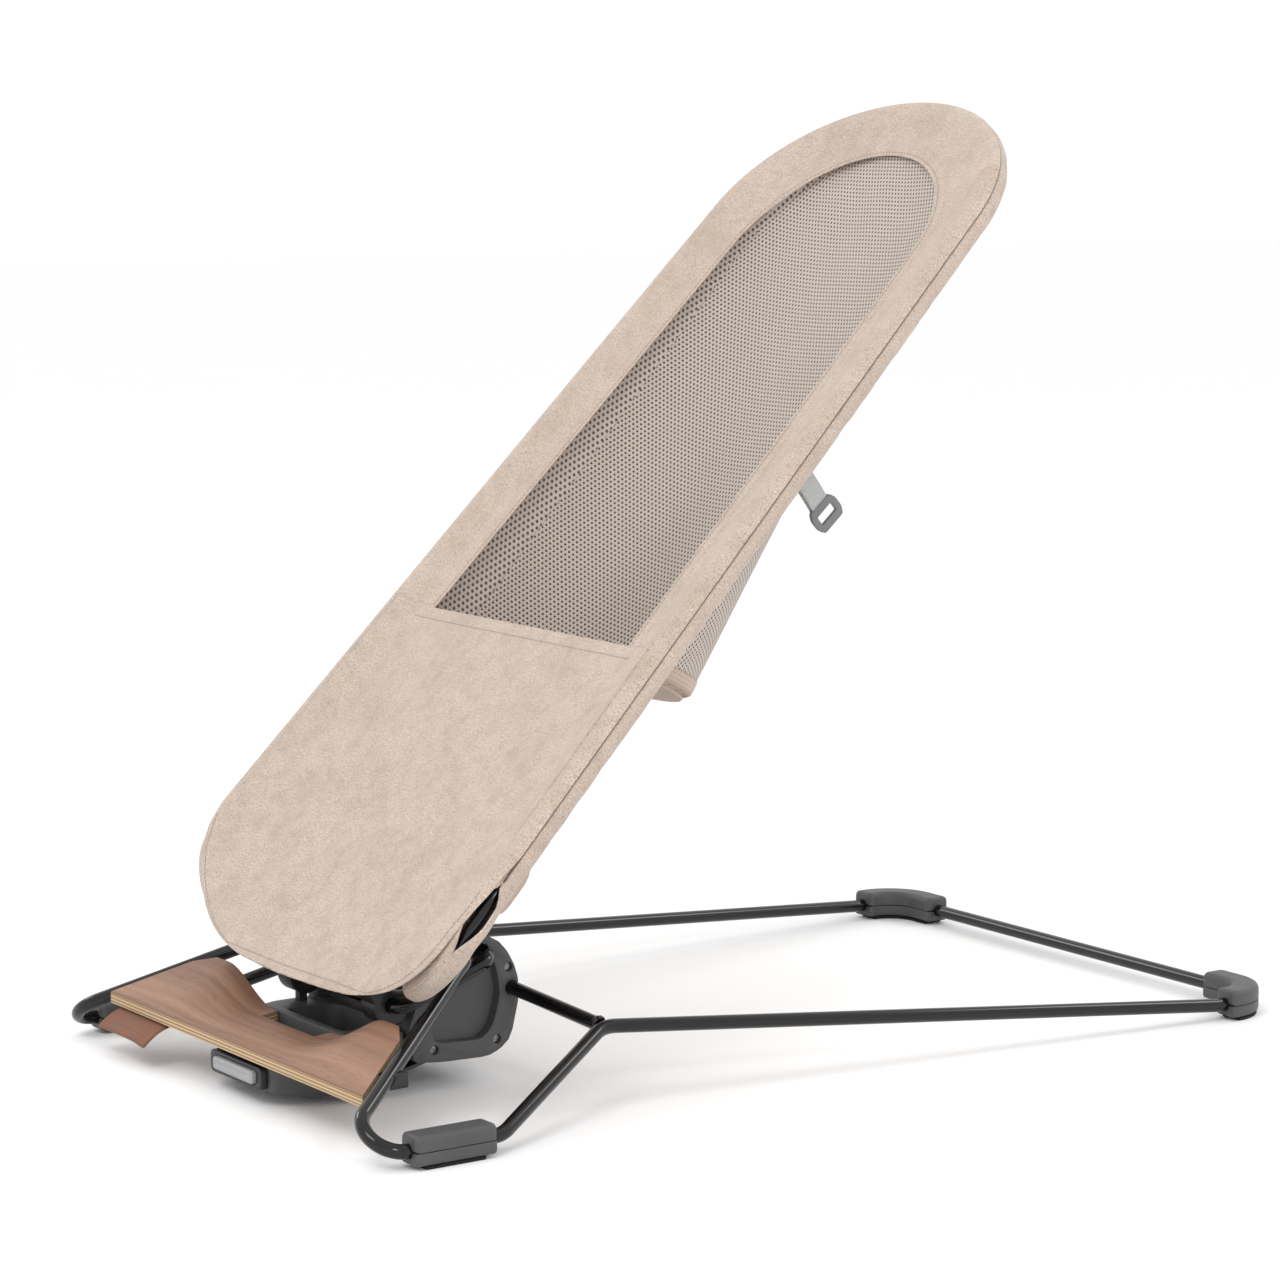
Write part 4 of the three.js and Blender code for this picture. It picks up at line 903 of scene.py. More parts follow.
@dataclass(frozen=True)
class SpacerMesh:
    """Open honeycomb spacer mesh of the sling: pale yarn, and six-sided holes painted dark as painted shade, the sheet
    itself being opaque.
    """

    name: str = "Spacer mesh"
    pitch: float = 0.0034
    opened: float = 0.42
    yarn: Triple = (0.52, 0.45, 0.395)
    # Painted shade: the colour painted into the holes, standing in for the dark space seen through them.
    hole: Triple = (0.075, 0.06, 0.05)
    wander: float = 0.0006

    def build(self, effects: Effects) -> bpy.types.Material:
        """Builds the material."""
        f = Finish(self.name, effects, Sheen_Weight=0.15, Specular_IOR_Level=0.2)
        k = f.kit
        wobble = k.node("ShaderNodeTexNoise", {"Vector": f.flat, "Scale": 45.0, "Detail": 1.0}).outputs[1]
        shake = (self.wander, self.wander, 0.0)
        moved = k.node("ShaderNodeVectorMath", {0: wobble, 1: shake, 2: f.flat}, operation="MULTIPLY_ADD").outputs[0]
        comb = f.group(effects.honeycomb, Vector=moved, Pitch=self.pitch, Open=self.opened)
        yarn = f.group(effects.heather, Vector=f.flat, Base=rgb(*self.yarn), Tone=rgb(*(c * 0.88 for c in self.yarn)),
                       Fleck=rgb(*(c * 0.6 for c in self.yarn)), Cloud=0.5, Flecks=0.25)
        # Painted shade in the holes: the opaque sheet takes the hole colour where the honeycomb opens.
        colour = k.mix(comb["Hole"], yarn["Color"], rgb(*self.hole))
        rough = k.add(k.mul(comb["Hole"], 0.05), 0.88)
        return f.feed(Base_Color=colour, Roughness=rough, Normal=k.bump(comb["Height"], 0.0009, 0.8))


@dataclass(frozen=True)
class RibKnit:
    """Ribbed knit of the pouch under the seat."""

    base: Triple = (0.52, 0.40, 0.315)
    tone: Triple = (0.38, 0.275, 0.205)
    fleck: Triple = (0.24, 0.16, 0.11)

    def build(self, effects: Effects) -> bpy.types.Material:
        """Builds the material."""
        f = Finish("Rib knit", effects, Sheen_Weight=0.3, Sheen_Roughness=0.5, Specular_IOR_Level=0.2)
        k = f.kit
        yarn = f.group(effects.heather, Vector=f.flat, Base=rgb(*self.base), Tone=rgb(*self.tone),
                       Fleck=rgb(*self.fleck),
                       Cloud=0.7, Flecks=0.35)
        ribs = f.group(effects.ribs, Vector=f.flat, Ribs_per_metre=420.0, Loops_per_metre=520.0, Slant=0.5)
        # Painted shade: the valleys between the ribs are darkened towards a deep yarn colour.
        colour = k.mix(k.mul(ribs["Valley"], 0.55), yarn["Color"], rgb(*(c * 0.55 for c in self.tone)))
        rough = k.add(k.mul(ribs["Valley"], 0.06), 0.9)
        return f.feed(Base_Color=colour, Roughness=rough, Normal=k.bump(ribs["Height"], 0.0006, 0.8))


@dataclass(frozen=True)
class WovenWebbing:
    """Woven grey webbing, or tape when finer."""

    name: str = "Woven webbing"
    base: Triple = (0.43, 0.43, 0.42)
    ribs: float = 700.0

    def build(self, effects: Effects) -> bpy.types.Material:
        """Builds the material."""
        f = Finish(self.name, effects, Specular_IOR_Level=0.3, Sheen_Weight=0.1)
        k = f.kit
        weave = f.group(
    effects.ribs,
    Vector=f.flat,
    Ribs_per_metre=self.ribs,
    Loops_per_metre=self.ribs * 1.3,
     Slant=0.8)
        speck = k.ramp(k.noise(f.flat, 900.0, 3.0), 0.4, 0.7)
        colour = k.mix(speck, rgb(*self.base), rgb(*(c * 0.78 for c in self.base)))
        # Painted shade: the valleys between the woven ribs are darkened.
        colour = k.mix(k.mul(weave["Valley"], 0.4), colour, rgb(*(c * 0.45 for c in self.base)))
        rough = k.add(k.mul(speck, 0.1), 0.75)
        return f.feed(Base_Color=colour, Roughness=rough, Normal=k.bump(weave["Height"], 0.0004, 0.7))


@dataclass(frozen=True)
class SewingThread:
    """Twisted thread of the stitches."""

    name: str = "Sewing thread"
    colour: Triple = (0.47, 0.385, 0.32)

    def build(self, effects: Effects) -> bpy.types.Material:
        """Builds the material."""
        f = Finish(self.name, effects, Sheen_Weight=0.2)
        k = f.kit
        twist = k.math("SINE", k.mul(k.add(*k.node("ShaderNodeSeparateXYZ", {0: f.flat}).outputs[0:2]), 9000.0))
        # Painted shade and highlight: the thread is darker in the grooves of its twist and lighter on its strands.
        tone = k.ramp(twist, -0.6, 0.6)
        colour = k.mix(tone, rgb(*(c * 0.7 for c in self.colour)), rgb(*self.colour))
        return f.feed(Base_Color=colour, Roughness=k.ramp(
            tone, 0.0, 1.0, 0.85, 0.7), Normal=k.bump(twist, 0.00006, 0.5))


@dataclass(frozen=True)
class PaleFloor:
    """Plain pale floor."""

    colour: Triple = (0.93, 0.93, 0.93)

    def build(self, effects: Effects) -> bpy.types.Material:
        """Builds the material."""
        f = Finish("Pale floor", effects, Roughness=0.75, Specular_IOR_Level=0.2)
        return f.feed(Base_Color=f.kit.mix(f.kit.noise(f.space, 3.0), rgb(
            *self.colour), rgb(*(c * 1.01 for c in self.colour))))


class Wardrobe:
    """Every finish of the bouncer, built once."""

    def __init__(self) -> None:
        """Builds the groups and the finishes."""
        effects = Effects()
        self.coat = GlossBlackCoat().build(effects)
        self.plastic = MouldedPlastic("Grey moulded plastic", (0.068, 0.069, 0.071), 0.48).build(effects)
        self.dark = MouldedPlastic("Dark moulded plastic", (0.017, 0.0175, 0.018), 0.42).build(effects)
        self.button = MouldedPlastic("Pale button plastic", (0.33, 0.335, 0.34), 0.4, 0.004, 2400.0).build(effects)
        self.tab = MouldedPlastic("Grey tab plastic", (0.16, 0.16, 0.16), 0.45, 0.004).build(effects)
        self.rubber = SoleRubber().build(effects)
        self.steel = ZincSteel().build(effects)
        self.walnut = WalnutVeneer().build(effects)
        self.ply = PlyEdge().build(effects)
        self.leather = TagLeather().build(effects)
        self.twill = HeatherTwill().build(effects)
        self.mesh = SpacerMesh().build(effects)
        # The edge mesh's last colour is the painted shade in its holes.
        self.edge_mesh = SpacerMesh("Open edge mesh", 0.0042, 0.5, (0.56, 0.495, 0.44),
                                    (0.12, 0.10, 0.085)).build(effects)
        self.knit = RibKnit().build(effects)
        self.webbing = WovenWebbing().build(effects)
        self.zip_tape = WovenWebbing("Zip tape", (0.10, 0.07, 0.055), 900.0).build(effects)
        self.thread = SewingThread().build(effects)
        self.tag_thread = SewingThread("Tag thread", (0.30, 0.14, 0.07)).build(effects)
        self.floor = PaleFloor().build(effects)


@dataclass
class Shop:
    """What every sub-assembly needs: the finishes, and where the design's origin lies in the frame."""

    finishes: Wardrobe
    shift: Array

    def draft(self) -> Draft:
        """An empty draft in design coordinates."""
        return Draft(self.shift)

    def place(self, piece: bpy.types.Object, body: Body, slot: Slot, *nodes: str) -> bpy.types.Object:
        """Lets a finished piece ride, stand for its CAD nodes and be reported.

        Args:
            piece: The piece.
            body: The body it moves with.
            slot: Not used.
            *nodes: CAD nodes that it stands for.

        Returns:
            The same piece.
        """
        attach(piece, body.value)
        if nodes:
            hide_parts(*nodes)
        LOG.info("%s: %d faces, rides on %s", piece.name, len(piece.data.polygons), body.value)
        return piece

    def refined(self, node: str, material: bpy.types.Material, body: Body,
                slot: Slot, edge: float = 0.0006) -> bpy.types.Object:
        """A copy of a CAD node with small rounded edges.

        Args:
            node: The CAD node.
            material: Its finish.
            body: The body it rides on.
            slot: Its material slot label, handed on to place.
            edge: Radius of its edges.

        Returns:
            The new piece.
        """
        source = bpy.data.objects[node]
        mesh = source.data.copy()
        mesh.materials.clear()
        mesh.materials.append(material)
        piece = bpy.data.objects.new(f"{node}_moulding", mesh)
        bpy.context.scene.collection.objects.link(piece)
        bpy.context.view_layer.objects.active = piece
        weld = piece.modifiers.new("weld", "WELD")
        weld.merge_threshold = WELD_DISTANCE
        flat = piece.modifiers.new("flat", "DECIMATE")
        flat.decimate_type = "DISSOLVE"
        flat.angle_limit = math.radians(FLAT_DEGREES)
        bevel = piece.modifiers.new("bevel", "BEVEL")
        bevel.width, bevel.segments, bevel.limit_method = edge, 2, "ANGLE"
        bevel.angle_limit = math.radians(BEVEL_DEGREES)
        for modifier in ("weld", "flat", "bevel"):
            with bpy.context.temp_override(object=piece, active_object=piece, selected_objects=[piece]):
                bpy.ops.object.modifier_apply(modifier=modifier)
        piece.data.shade_smooth()
        piece.data.set_sharp_from_angle(angle=math.radians(SHARP_DEGREES))
        return self.place(piece, body, slot, node)


# ------------------------------------------------------------------ base
@dataclass
class WireBase:
    """The bent-wire base: front arms, side rails, struts, rear tube and the bail at the hub."""

    shop: Shop
    radius: float = 0.00475
    half_width: float = 0.2095
    floor_z: float = 0.011
    front_corner_y: float = -0.1055
    arm_top: Triple = (0.087, 0.067, 0.091)
    knee: Triple = (0.1567, 0.1257, 0.0532)
    rise_y: float = 0.016
    rear_y: float = 0.655
    splice_x: float = 0.165
    bail_x: float = 0.076
    bail_top: tuple[float, float] = (0.094, 0.087)
    bail_bar: tuple[float, float] = (0.025, 0.062)

    def arm_path(self, side: float) -> Array:
        """The front arm's centre line on one side."""
        x, y, z = self.arm_top
        corners = [vec(0.056, y, z), vec(x, y, z), vec(self.half_width, self.front_corner_y, self.floor_z),
                   vec(self.half_width, -0.0223, self.floor_z)]
        return bent_path(corners, [0.011, 0.020]) * vec(side, 1, 1)

    def rail_path(self, side: float) -> Array:
        """The side rail's centre line on one side."""
        w, z = self.half_width, self.floor_z
        corners = [vec(w, -0.0217, z), vec(w, self.rise_y, z), vec(*self.knee), vec(w - 0.0034, self.rear_y - 0.043, z),
                   vec(w, self.rear_y, z), vec(self.splice_x, self.rear_y, z)]
        return bent_path(corners, [0.022, 0.026, 0.060, 0.030]) * vec(side, 1, 1)

    def _tube(self, name: str, path: Array, node: str, sides: int = 30) -> None:
        """Makes one tube and puts it in its node's place."""
        draft = self.shop.draft()
        loft(draft, tube_rings(path, self.radius, sides, 0.0008))
        piece = draft.build(name, [self.shop.finishes.coat], 60)
        self.shop.place(piece, Body.BASE, Slot.TUBE, node)

    def build(self) -> None:
        """Makes every tube of the base."""
        for name, side in SIDES:
            self._tube(f"{name}_front_arm_tube", self.arm_path(side), f"{name}_front_arm")
            self._tube(f"{name}_side_rail_tube", self.rail_path(side), f"{name}_side_rail")
            self._strut(name, side)
        rear = np.linspace(-self.splice_x + 0.0006, self.splice_x - 0.0006, 40)
        self._tube("rear_cross_tube_bar", np.stack(
            [rear, rear * 0 + self.rear_y, rear * 0 + self.floor_z], axis=1), "rear_cross_tube")
        self._bail()

    def _strut(self, name: str, side: float) -> None:
        """The strut from the hub to the side rail's knee, with its weld."""
        knee = vec(*self.knee)
        root = vec(0.0575, 0.114, 0.0635)
        along = unit(knee - root)
        path = np.array([root + along * s for s in np.linspace(0, float(np.linalg.norm(knee - root)) - 0.002, 14)])
        draft = self.shop.draft()
        loft(draft, tube_rings(path * vec(side, 1, 1), self.radius, 30))
        stations = np.array([knee - along * s for s in (0.0066, 0.0060, 0.0050, 0.0040, 0.0028)])
        angle = np.linspace(0, 2 * math.pi, 44, endpoint=False)
        side_axis, up_axis = frames(stations)
        rings = []
        for k, (centre, swell) in enumerate(zip(stations, (0.0, 0.0005, 0.0010, 0.0011, 0.0004))):
            bead = self.radius + swell * (1 + 0.25 * np.sin(angle * 13 + k * 0.8))
            rings.append(centre + bead[:, None] * (np.cos(angle)[:, None] * \
                         side_axis[k] + np.sin(angle)[:, None] * up_axis[k]))
        loft(draft, np.array(rings) * vec(side, 1, 1))
        piece = draft.build(f"{name}_strut_tube", [self.shop.finishes.coat], 60)
        self.shop.place(piece, Body.BASE, Slot.TUBE, f"{name}_strut")

    def _bail(self) -> None:
        """The bail that carries the seat saddles between the hub towers."""
        x, (ty, tz), (by, bz) = self.bail_x, self.bail_top, self.bail_bar
        corners = [vec(0.0555, ty, tz), vec(x, ty, tz), vec(x, by, bz),
                       vec(-x, by, bz), vec(-x, ty, tz), vec(-0.0555, ty, tz)]
        self._tube("spring_bail_wire", bent_path(corners, [0.010] * 4), "spring_bail")


@dataclass
class Feet:
    """Front feet and rear elbow covers, each in two halves over a rubber sole."""

    shop: Shop
    base: WireBase
    width: float = 0.020
    top_z: float = 0.0215
    split_z: float = 0.011
    sole: float = 0.0022
    front: tuple[float, float] = (-0.051, 0.007)
    elbow_side: float = 0.036
    elbow_rear: float = 0.054
    pinch: float = 0.42
    pinch_run: float = 0.004

    def _section(self, up: bool, corner: float, steps: int = 7) -> Array:
        """Half of a foot's section, across and up from the tube's axis."""
        w = self.width / 2
        height = (self.top_z - self.split_z) if up else (self.split_z - self.sole - 0.0003)
        s = 1.0 if up else -1.0
        part = 0.0002 * s
        shape = [(-w, part), (-w, s * height), (w, s * height), (w, part)]
        outline = rounded_outline(shape, [0.0006, corner, corner, 0.0006], steps)
        return outline if up else outline[::-1]

    def _along(self, path: Array, section: Array, end: float) -> Array:
        """The section carried along a level path, rounded over at both ends."""
        tangent = np.gradient(path, axis=0)
        tangent[0], tangent[-1] = path[1] - path[0], path[-1] - path[-2]
        tangent = unit(tangent)
        side = unit(np.cross(tangent, vec(0, 0, 1)))
        middle = section.mean(axis=0)

        def ring(centre: Array, across: Array, scale: float) -> Array:
            """One ring, its section shrunk about its middle."""
            small = middle + (section - middle) * scale
            return centre + small[:, :1] * across + small[:, 1:] * vec(0, 0, 1)

        def rounded(k: int, inward: Array, angles: Array) -> list[Array]:
            """The rings that round over one end."""
            return [ring(path[k] + inward * end * (1 - math.cos(a)), side[k],
                         1 - self.pinch * (1 - math.sin(a)) * end / self.pinch_run)
                    for a in angles]

        rings = rounded(0, tangent[0], np.linspace(0, math.pi / 2, 6))
        for centre, across in zip(path[1:-1], side[1:-1]):
            if min(np.linalg.norm(centre - path[0]), np.linalg.norm(centre - path[-1])) > end * 1.2:
                rings.append(ring(centre, across, 1.0))
        rings += rounded(-1, -tangent[-1], np.linspace(math.pi / 2, 0, 6))
        return np.array(rings)

    def _cover(self, name: str, path: Array, side: float, stem: str) -> None:
        """One foot or elbow: upper half, lower half and sole."""
        finishes = self.shop.finishes
        flip = vec(side, 1, 1)
        for part, section, material, slot in (
            ("upper", self._section(True, 0.0065), finishes.plastic, Slot.PLASTIC),
            ("lower", self._section(False, 0.003), finishes.plastic, Slot.PLASTIC),
        ):
            rings = self._along(path, section, 0.0035 if part == "upper" else 0.0025)
            self._finish(f"{name}_{stem}_{part}_shell", rings * flip, side, material, slot, f"{name}_{stem}_{part}")
        pad = rounded_outline([(-0.0088, -self.split_z), (0.0088, -self.split_z), (0.0088, self.sole - self.split_z),
                               (-0.0088, self.sole - self.split_z)], 0.0008, 3)
        cut = path[2:-2] if len(path) > 8 else path
        self._finish(
    f"{name}_{stem}_sole_pad",
    self._along(
        cut,
        pad,
        0.0012) * flip,
        side,
        finishes.rubber,
        Slot.RUBBER,
         f"{name}_{stem}_sole")

    def _finish(self, name: str, rings: Array, side: float,
                material: bpy.types.Material, slot: Slot, node: str) -> None:
        """Closes the rings and puts the piece in its node's place."""
        draft = self.shop.draft()
        loft(draft, rings if side > 0 else rings[:, ::-1])
        self.shop.place(draft.build(name, [material], 50), Body.BASE, slot, node)

    def build(self) -> None:
        """Makes all four feet."""
        b = self.base
        for name, side in SIDES:
            y = np.linspace(self.front[0], self.front[1], 16)
            straight = np.stack([y * 0 + b.half_width, y, y * 0 + b.floor_z], axis=1)
            self._cover(name, straight, side, "front_foot")
            corner = vec(b.half_width, b.rear_y, b.floor_z)
            along = unit(corner - vec(b.half_width - 0.0034, b.rear_y - 0.043, b.floor_z))
            elbow = bent_path([corner - along * self.elbow_side, corner,
                               vec(b.half_width - self.elbow_rear, b.rear_y, b.floor_z)],
                              [0.030], 5.0, 0.004)
            self._cover(name, elbow, side, "rear_elbow")


@dataclass
class FootBoard:
    """Walnut-faced plywood board with rising wings, a finger notch and a sewn leather tag."""

    shop: Shop
    front_y: float = -0.0592
    back_y: float = -0.003
    thickness: float = 0.008
    front_z: float = 0.0377
    middle_rise: float = 0.0052
    wing_rise: float = 0.0262
    wing: tuple[float, float] = (0.042, 0.104)
    notch_half: float = 0.036
    notch_depth: float = 0.013
    corner: float = 0.010
    edge: float = 0.0007

    def top(self, x: Array, y: Array) -> Array:
        """Height of the top face."""
        along = (y - self.front_y) / (self.back_y - self.front_y)
        wing = smooth(np.abs(x), *self.wing)
        return self.front_z + along * (self.middle_rise + (self.wing_rise - self.middle_rise) * wing)

    @staticmethod
    def half_width(y: Array | float) -> Array | float:
        """Half the board's width, just inside the sloping front arms."""
        return 0.2095 + (0.1225 / -0.1725) * (np.asarray(y) + 0.1055) - 0.00712

    def back_edge(self, x: Array, half: float) -> Array:
        """Where the back edge lies, with its notch and cut corners."""
        notch = smooth(np.abs(x), self.notch_half + 0.0005, self.notch_half - 0.0045)
        tip = np.clip(np.abs(x) - (half - self.corner), 0, None)
        return self.back_y - self.notch_depth * notch - tip * 0.95

    def _stations(self) -> Array:
        """Places across the board, closer together at the notch's corners and the ends."""
        fine = [np.linspace(-1, 1, 121), np.linspace(0.19, 0.27, 24), np.linspace(-0.27, -0.19, 24),
                np.linspace(0.9, 1, 16),
                np.linspace(-1, -0.9, 16)]
        return np.unique(np.round(np.concatenate(fine), 5))

    def _profile(self, back: float) -> tuple[Array, Array]:
        """One section of the board, from its front top edge over the top, the back, the underside and the front.

        Args:
            back: Where the back edge lies at this place.

        Returns:
            The y of each point, and its depth under the top face.
        """
        front, t, e = self.front_y, self.thickness, self.edge
        shares = np.concatenate([[0.0], np.linspace(0.02, 0.98, 11), [1.0]])
        top_y = front + e + (back - front - 2 * e) * shares

        def bend(end: float, inward: int, under: bool, angles: tuple[int, int]) -> list[tuple[float, float]]:
            """The points that round over one long edge."""
            turns = [math.radians(a) for a in angles]
            drops = [e * (1 - math.cos(a)) for a in turns]
            return [(end + inward * e * (1 - math.sin(a)), t - d if under else d) for a, d in zip(turns, drops)]

        points = [(y, 0.0) for y in top_y] + bend(back, -1, False, (30, 60))
        points += [(back, d) for d in np.linspace(e, t - e, 5)] + bend(back, -1, True, (60, 30))
        points += [(y, t) for y in top_y[::-1]] + bend(front, 1, True, (30, 60))
        points += [(front, d) for d in np.linspace(t - e, e, 5)] + bend(front, 1, False, (60, 30))
        return np.array([p[0] for p in points]), np.array([p[1] for p in points])

    def build(self) -> None:
        """Makes the board, its tag and its clips."""
        half_back = float(self.half_width(self.back_y))
        rings, depths = [], []
        for k in self._stations():
            y, d = self._profile(float(self.back_edge(np.array(k * half_back), half_back)))
            rings.append(np.stack([k * self.half_width(y), y, self.top(k * self.half_width(y), y) - d], axis=1))
            depths.append(d)
        rings, depth = np.array(rings), np.array(depths)
        length = rings[..., 0]
        draft = self.shop.draft()
        count, width = rings.shape[:2]
        first = draft.add(rings.reshape(-1, 3))
        index = first + np.arange(count * width).reshape(count, width)
        for j in range(width):
            n = (j + 1) % width
            veneered = depth[0][j] == depth[0][n] and depth[0][j] in (0.0, self.thickness)
            for i in range(count - 1):
                ring = [(i, j), (i, n), (i + 1, n), (i + 1, j)]
                draft.face([index[c] for c in ring], [(length[c], depth[c]) for c in ring], 0 if veneered else 1)
        for row, order in ((0, slice(None, None, -1)), (count - 1, slice(None))):
            uv = [(float(rings[row][j][1]), float(depth[row][j])) for j in range(width)][order]
            draft.face(list(index[row][order]), uv, 1)
        board = draft.build("foot_board_plywood", [self.shop.finishes.walnut, self.shop.finishes.ply], 32)
        self.shop.place(board, Body.BASE, Slot.WALNUT, "foot_board")
        self._tag()
        for name, _ in SIDES:
            self.shop.refined(f"{name}_board_clip", self.shop.finishes.dark, Body.BASE, Slot.DARK, 0.0012)

    def _tag(self) -> None:
        """The leather tag under the front edge, stitched across its root."""
        low, high = -0.158, -0.092
        top_y, top_z = self.front_y + 0.008, self.front_z - self.thickness - 0.0012
        u, v = np.meshgrid(np.linspace(0, 1, 40), np.linspace(0, 1, 18))
        x = low + (high - low) * u
        y = top_y - 0.0228 * v
        z = top_z - 0.0108 * v * v + 0.0006 * np.sin(u * math.pi) * v - 0.0011 * v * smooth(u, 0.72, 1.0)
        surface = np.stack([x, y, z], axis=-1)
        flat = np.stack([x - low, 0.0255 * v], axis=-1)
        draft = self.shop.draft()
        cloth_sheet(draft, surface[::-1], flat[::-1], 0.0016)
        row = surface[13, 2:-2]
        out = np.tile(vec(0, -0.5, 0.86), (len(row), 1))
        stitches(draft, row + out * 0.0009, out, 0.0042, 0.003, 0.0003, slot=1)
        tag = draft.build("leather_tag_hide", [self.shop.finishes.leather, self.shop.finishes.tag_thread], 50)
        self.shop.place(tag, Body.BASE, Slot.LEATHER, "leather_tag")


@dataclass
class Hub:
    """The hub: its shells and side covers, screws, bezel, button, latch and seat saddles."""

    shop: Shop
    half_width: float = 0.066
    cover: float = 0.0115
    button: tuple[float, float, float, float, float] = (0.0265, 0.0136, 0.0224, -0.058, -0.044)
    latch_place: tuple[float, float] = (0.055, 0.025)
    spring_ends: tuple[float, float] = (0.0134, 0.0268)

    def build(self) -> None:
        """Makes or refines every hub piece."""
        finishes, shop = self.shop.finishes, self.shop
        shop.refined("housing_lower", finishes.plastic, Body.BASE, Slot.PLASTIC, 0.0008)
        shop.refined("housing_upper", finishes.plastic, Body.BASE, Slot.PLASTIC, 0.0006)
        shop.refined("button_bezel", finishes.dark, Body.BASE, Slot.DARK, 0.0007)
        shop.refined("push_rod", finishes.dark, Body.BUTTON, Slot.DARK, 0.0003)
        self._button()
        for name, side in SIDES:
            shop.refined(f"{name}_hub_cover", finishes.plastic, Body.BASE, Slot.PLASTIC, 0.0009)
            shop.refined(f"{name}_seat_saddle", finishes.dark, Body.CARRIER, Slot.DARK, 0.0008)
            shop.refined(f"{name}_latch_bolt", finishes.dark, Body.LATCH, Slot.DARK, 0.0003)
            for k in (1, 2, 3):
                shop.refined(f"{name}_hub_screw_{k}", finishes.steel, Body.BASE, Slot.STEEL, 0.0002)
            self._spring(name, side)

    def _spring(self, name: str, side: float) -> None:
        """A latch spring, built as a fixed coil that does not shorten when its bolt comes down."""
        low, high = self.spring_ends
        turn = np.linspace(0, 2 * math.pi * 6.5, 150)
        rise = low + (high - low) * smooth(turn / turn[-1], -0.04, 1.04) * 0.5 + (high - low) * turn / turn[-1] * 0.5
        x, y = self.latch_place
        path = np.stack([x + 0.0025 * np.cos(turn), y + 0.0025 * np.sin(turn), rise], axis=1) * vec(side, 1, 1)
        draft = self.shop.draft()
        loft(draft, tube_rings(path, 0.0004, 8))
        piece = draft.build(f"{name}_latch_spring_wire", [self.shop.finishes.steel], 60)
        self.shop.place(piece, Body.BASE, Slot.STEEL, f"{name}_latch_spring")
        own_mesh(piece)

    def _button(self) -> None:
        """The release button, its face slightly dished."""
        half, low, high, front, back = self.button
        outline = rounded_outline([(-half, low), (half, low), (half, high), (-half, high)], 0.0030, 8)

        def place(points: Array, depth: float) -> Array:
            """Section points at a depth behind the button's face."""
            return np.stack([points[:, 0], np.full(len(points), depth), points[:, 1]], axis=1)

        rings = [place(inset(outline, i), front + d) for i, d in
                 ((0.0044, 0.0007), (0.0040, 0.0006), (0.0032, 0.0003), (0.0022, 0.0), (0.0012, 0.0001),
                  (0.0005, 0.0005),
                  (0.0001, 0.0011), (0.0, 0.0018), (0.0, 0.012), (0.0006, back - front))]
        draft = self.shop.draft()
        loft(draft, np.array(rings)[:, ::-1])
        piece = draft.build("release_button_cap", [self.shop.finishes.button], 50)
        self.shop.place(piece, Body.BUTTON, Slot.BUTTON, "release_button")


# ------------------------------------------------------------------ seat
@dataclass(frozen=True)
class SeatPlane:
    """The seat's own plane: x across, t up along the rails, n out of its face."""

    pitch: float = math.radians(45.54)
    origin: Triple = (0.0, 0.0555, 0.1705)

    def at(self, x: Array | float, t: Array | float, n: Array | float) -> Array:
        """Points of the seat plane's coordinates in design space."""
        x, t, n = np.broadcast_arrays(np.asarray(x, float), np.asarray(t, float), np.asarray(n, float))
        c, s = math.cos(self.pitch), math.sin(self.pitch)
        return np.stack([x, self.origin[1] + t * c - n * s, self.origin[2] + t * s + n * c], axis=-1)

    def turn(self, x: Array | float, t: Array | float, n: Array | float) -> Array:
        """Directions of the seat plane's coordinates in design space."""
        return self.at(x, t, n) - self.at(0, 0, 0)


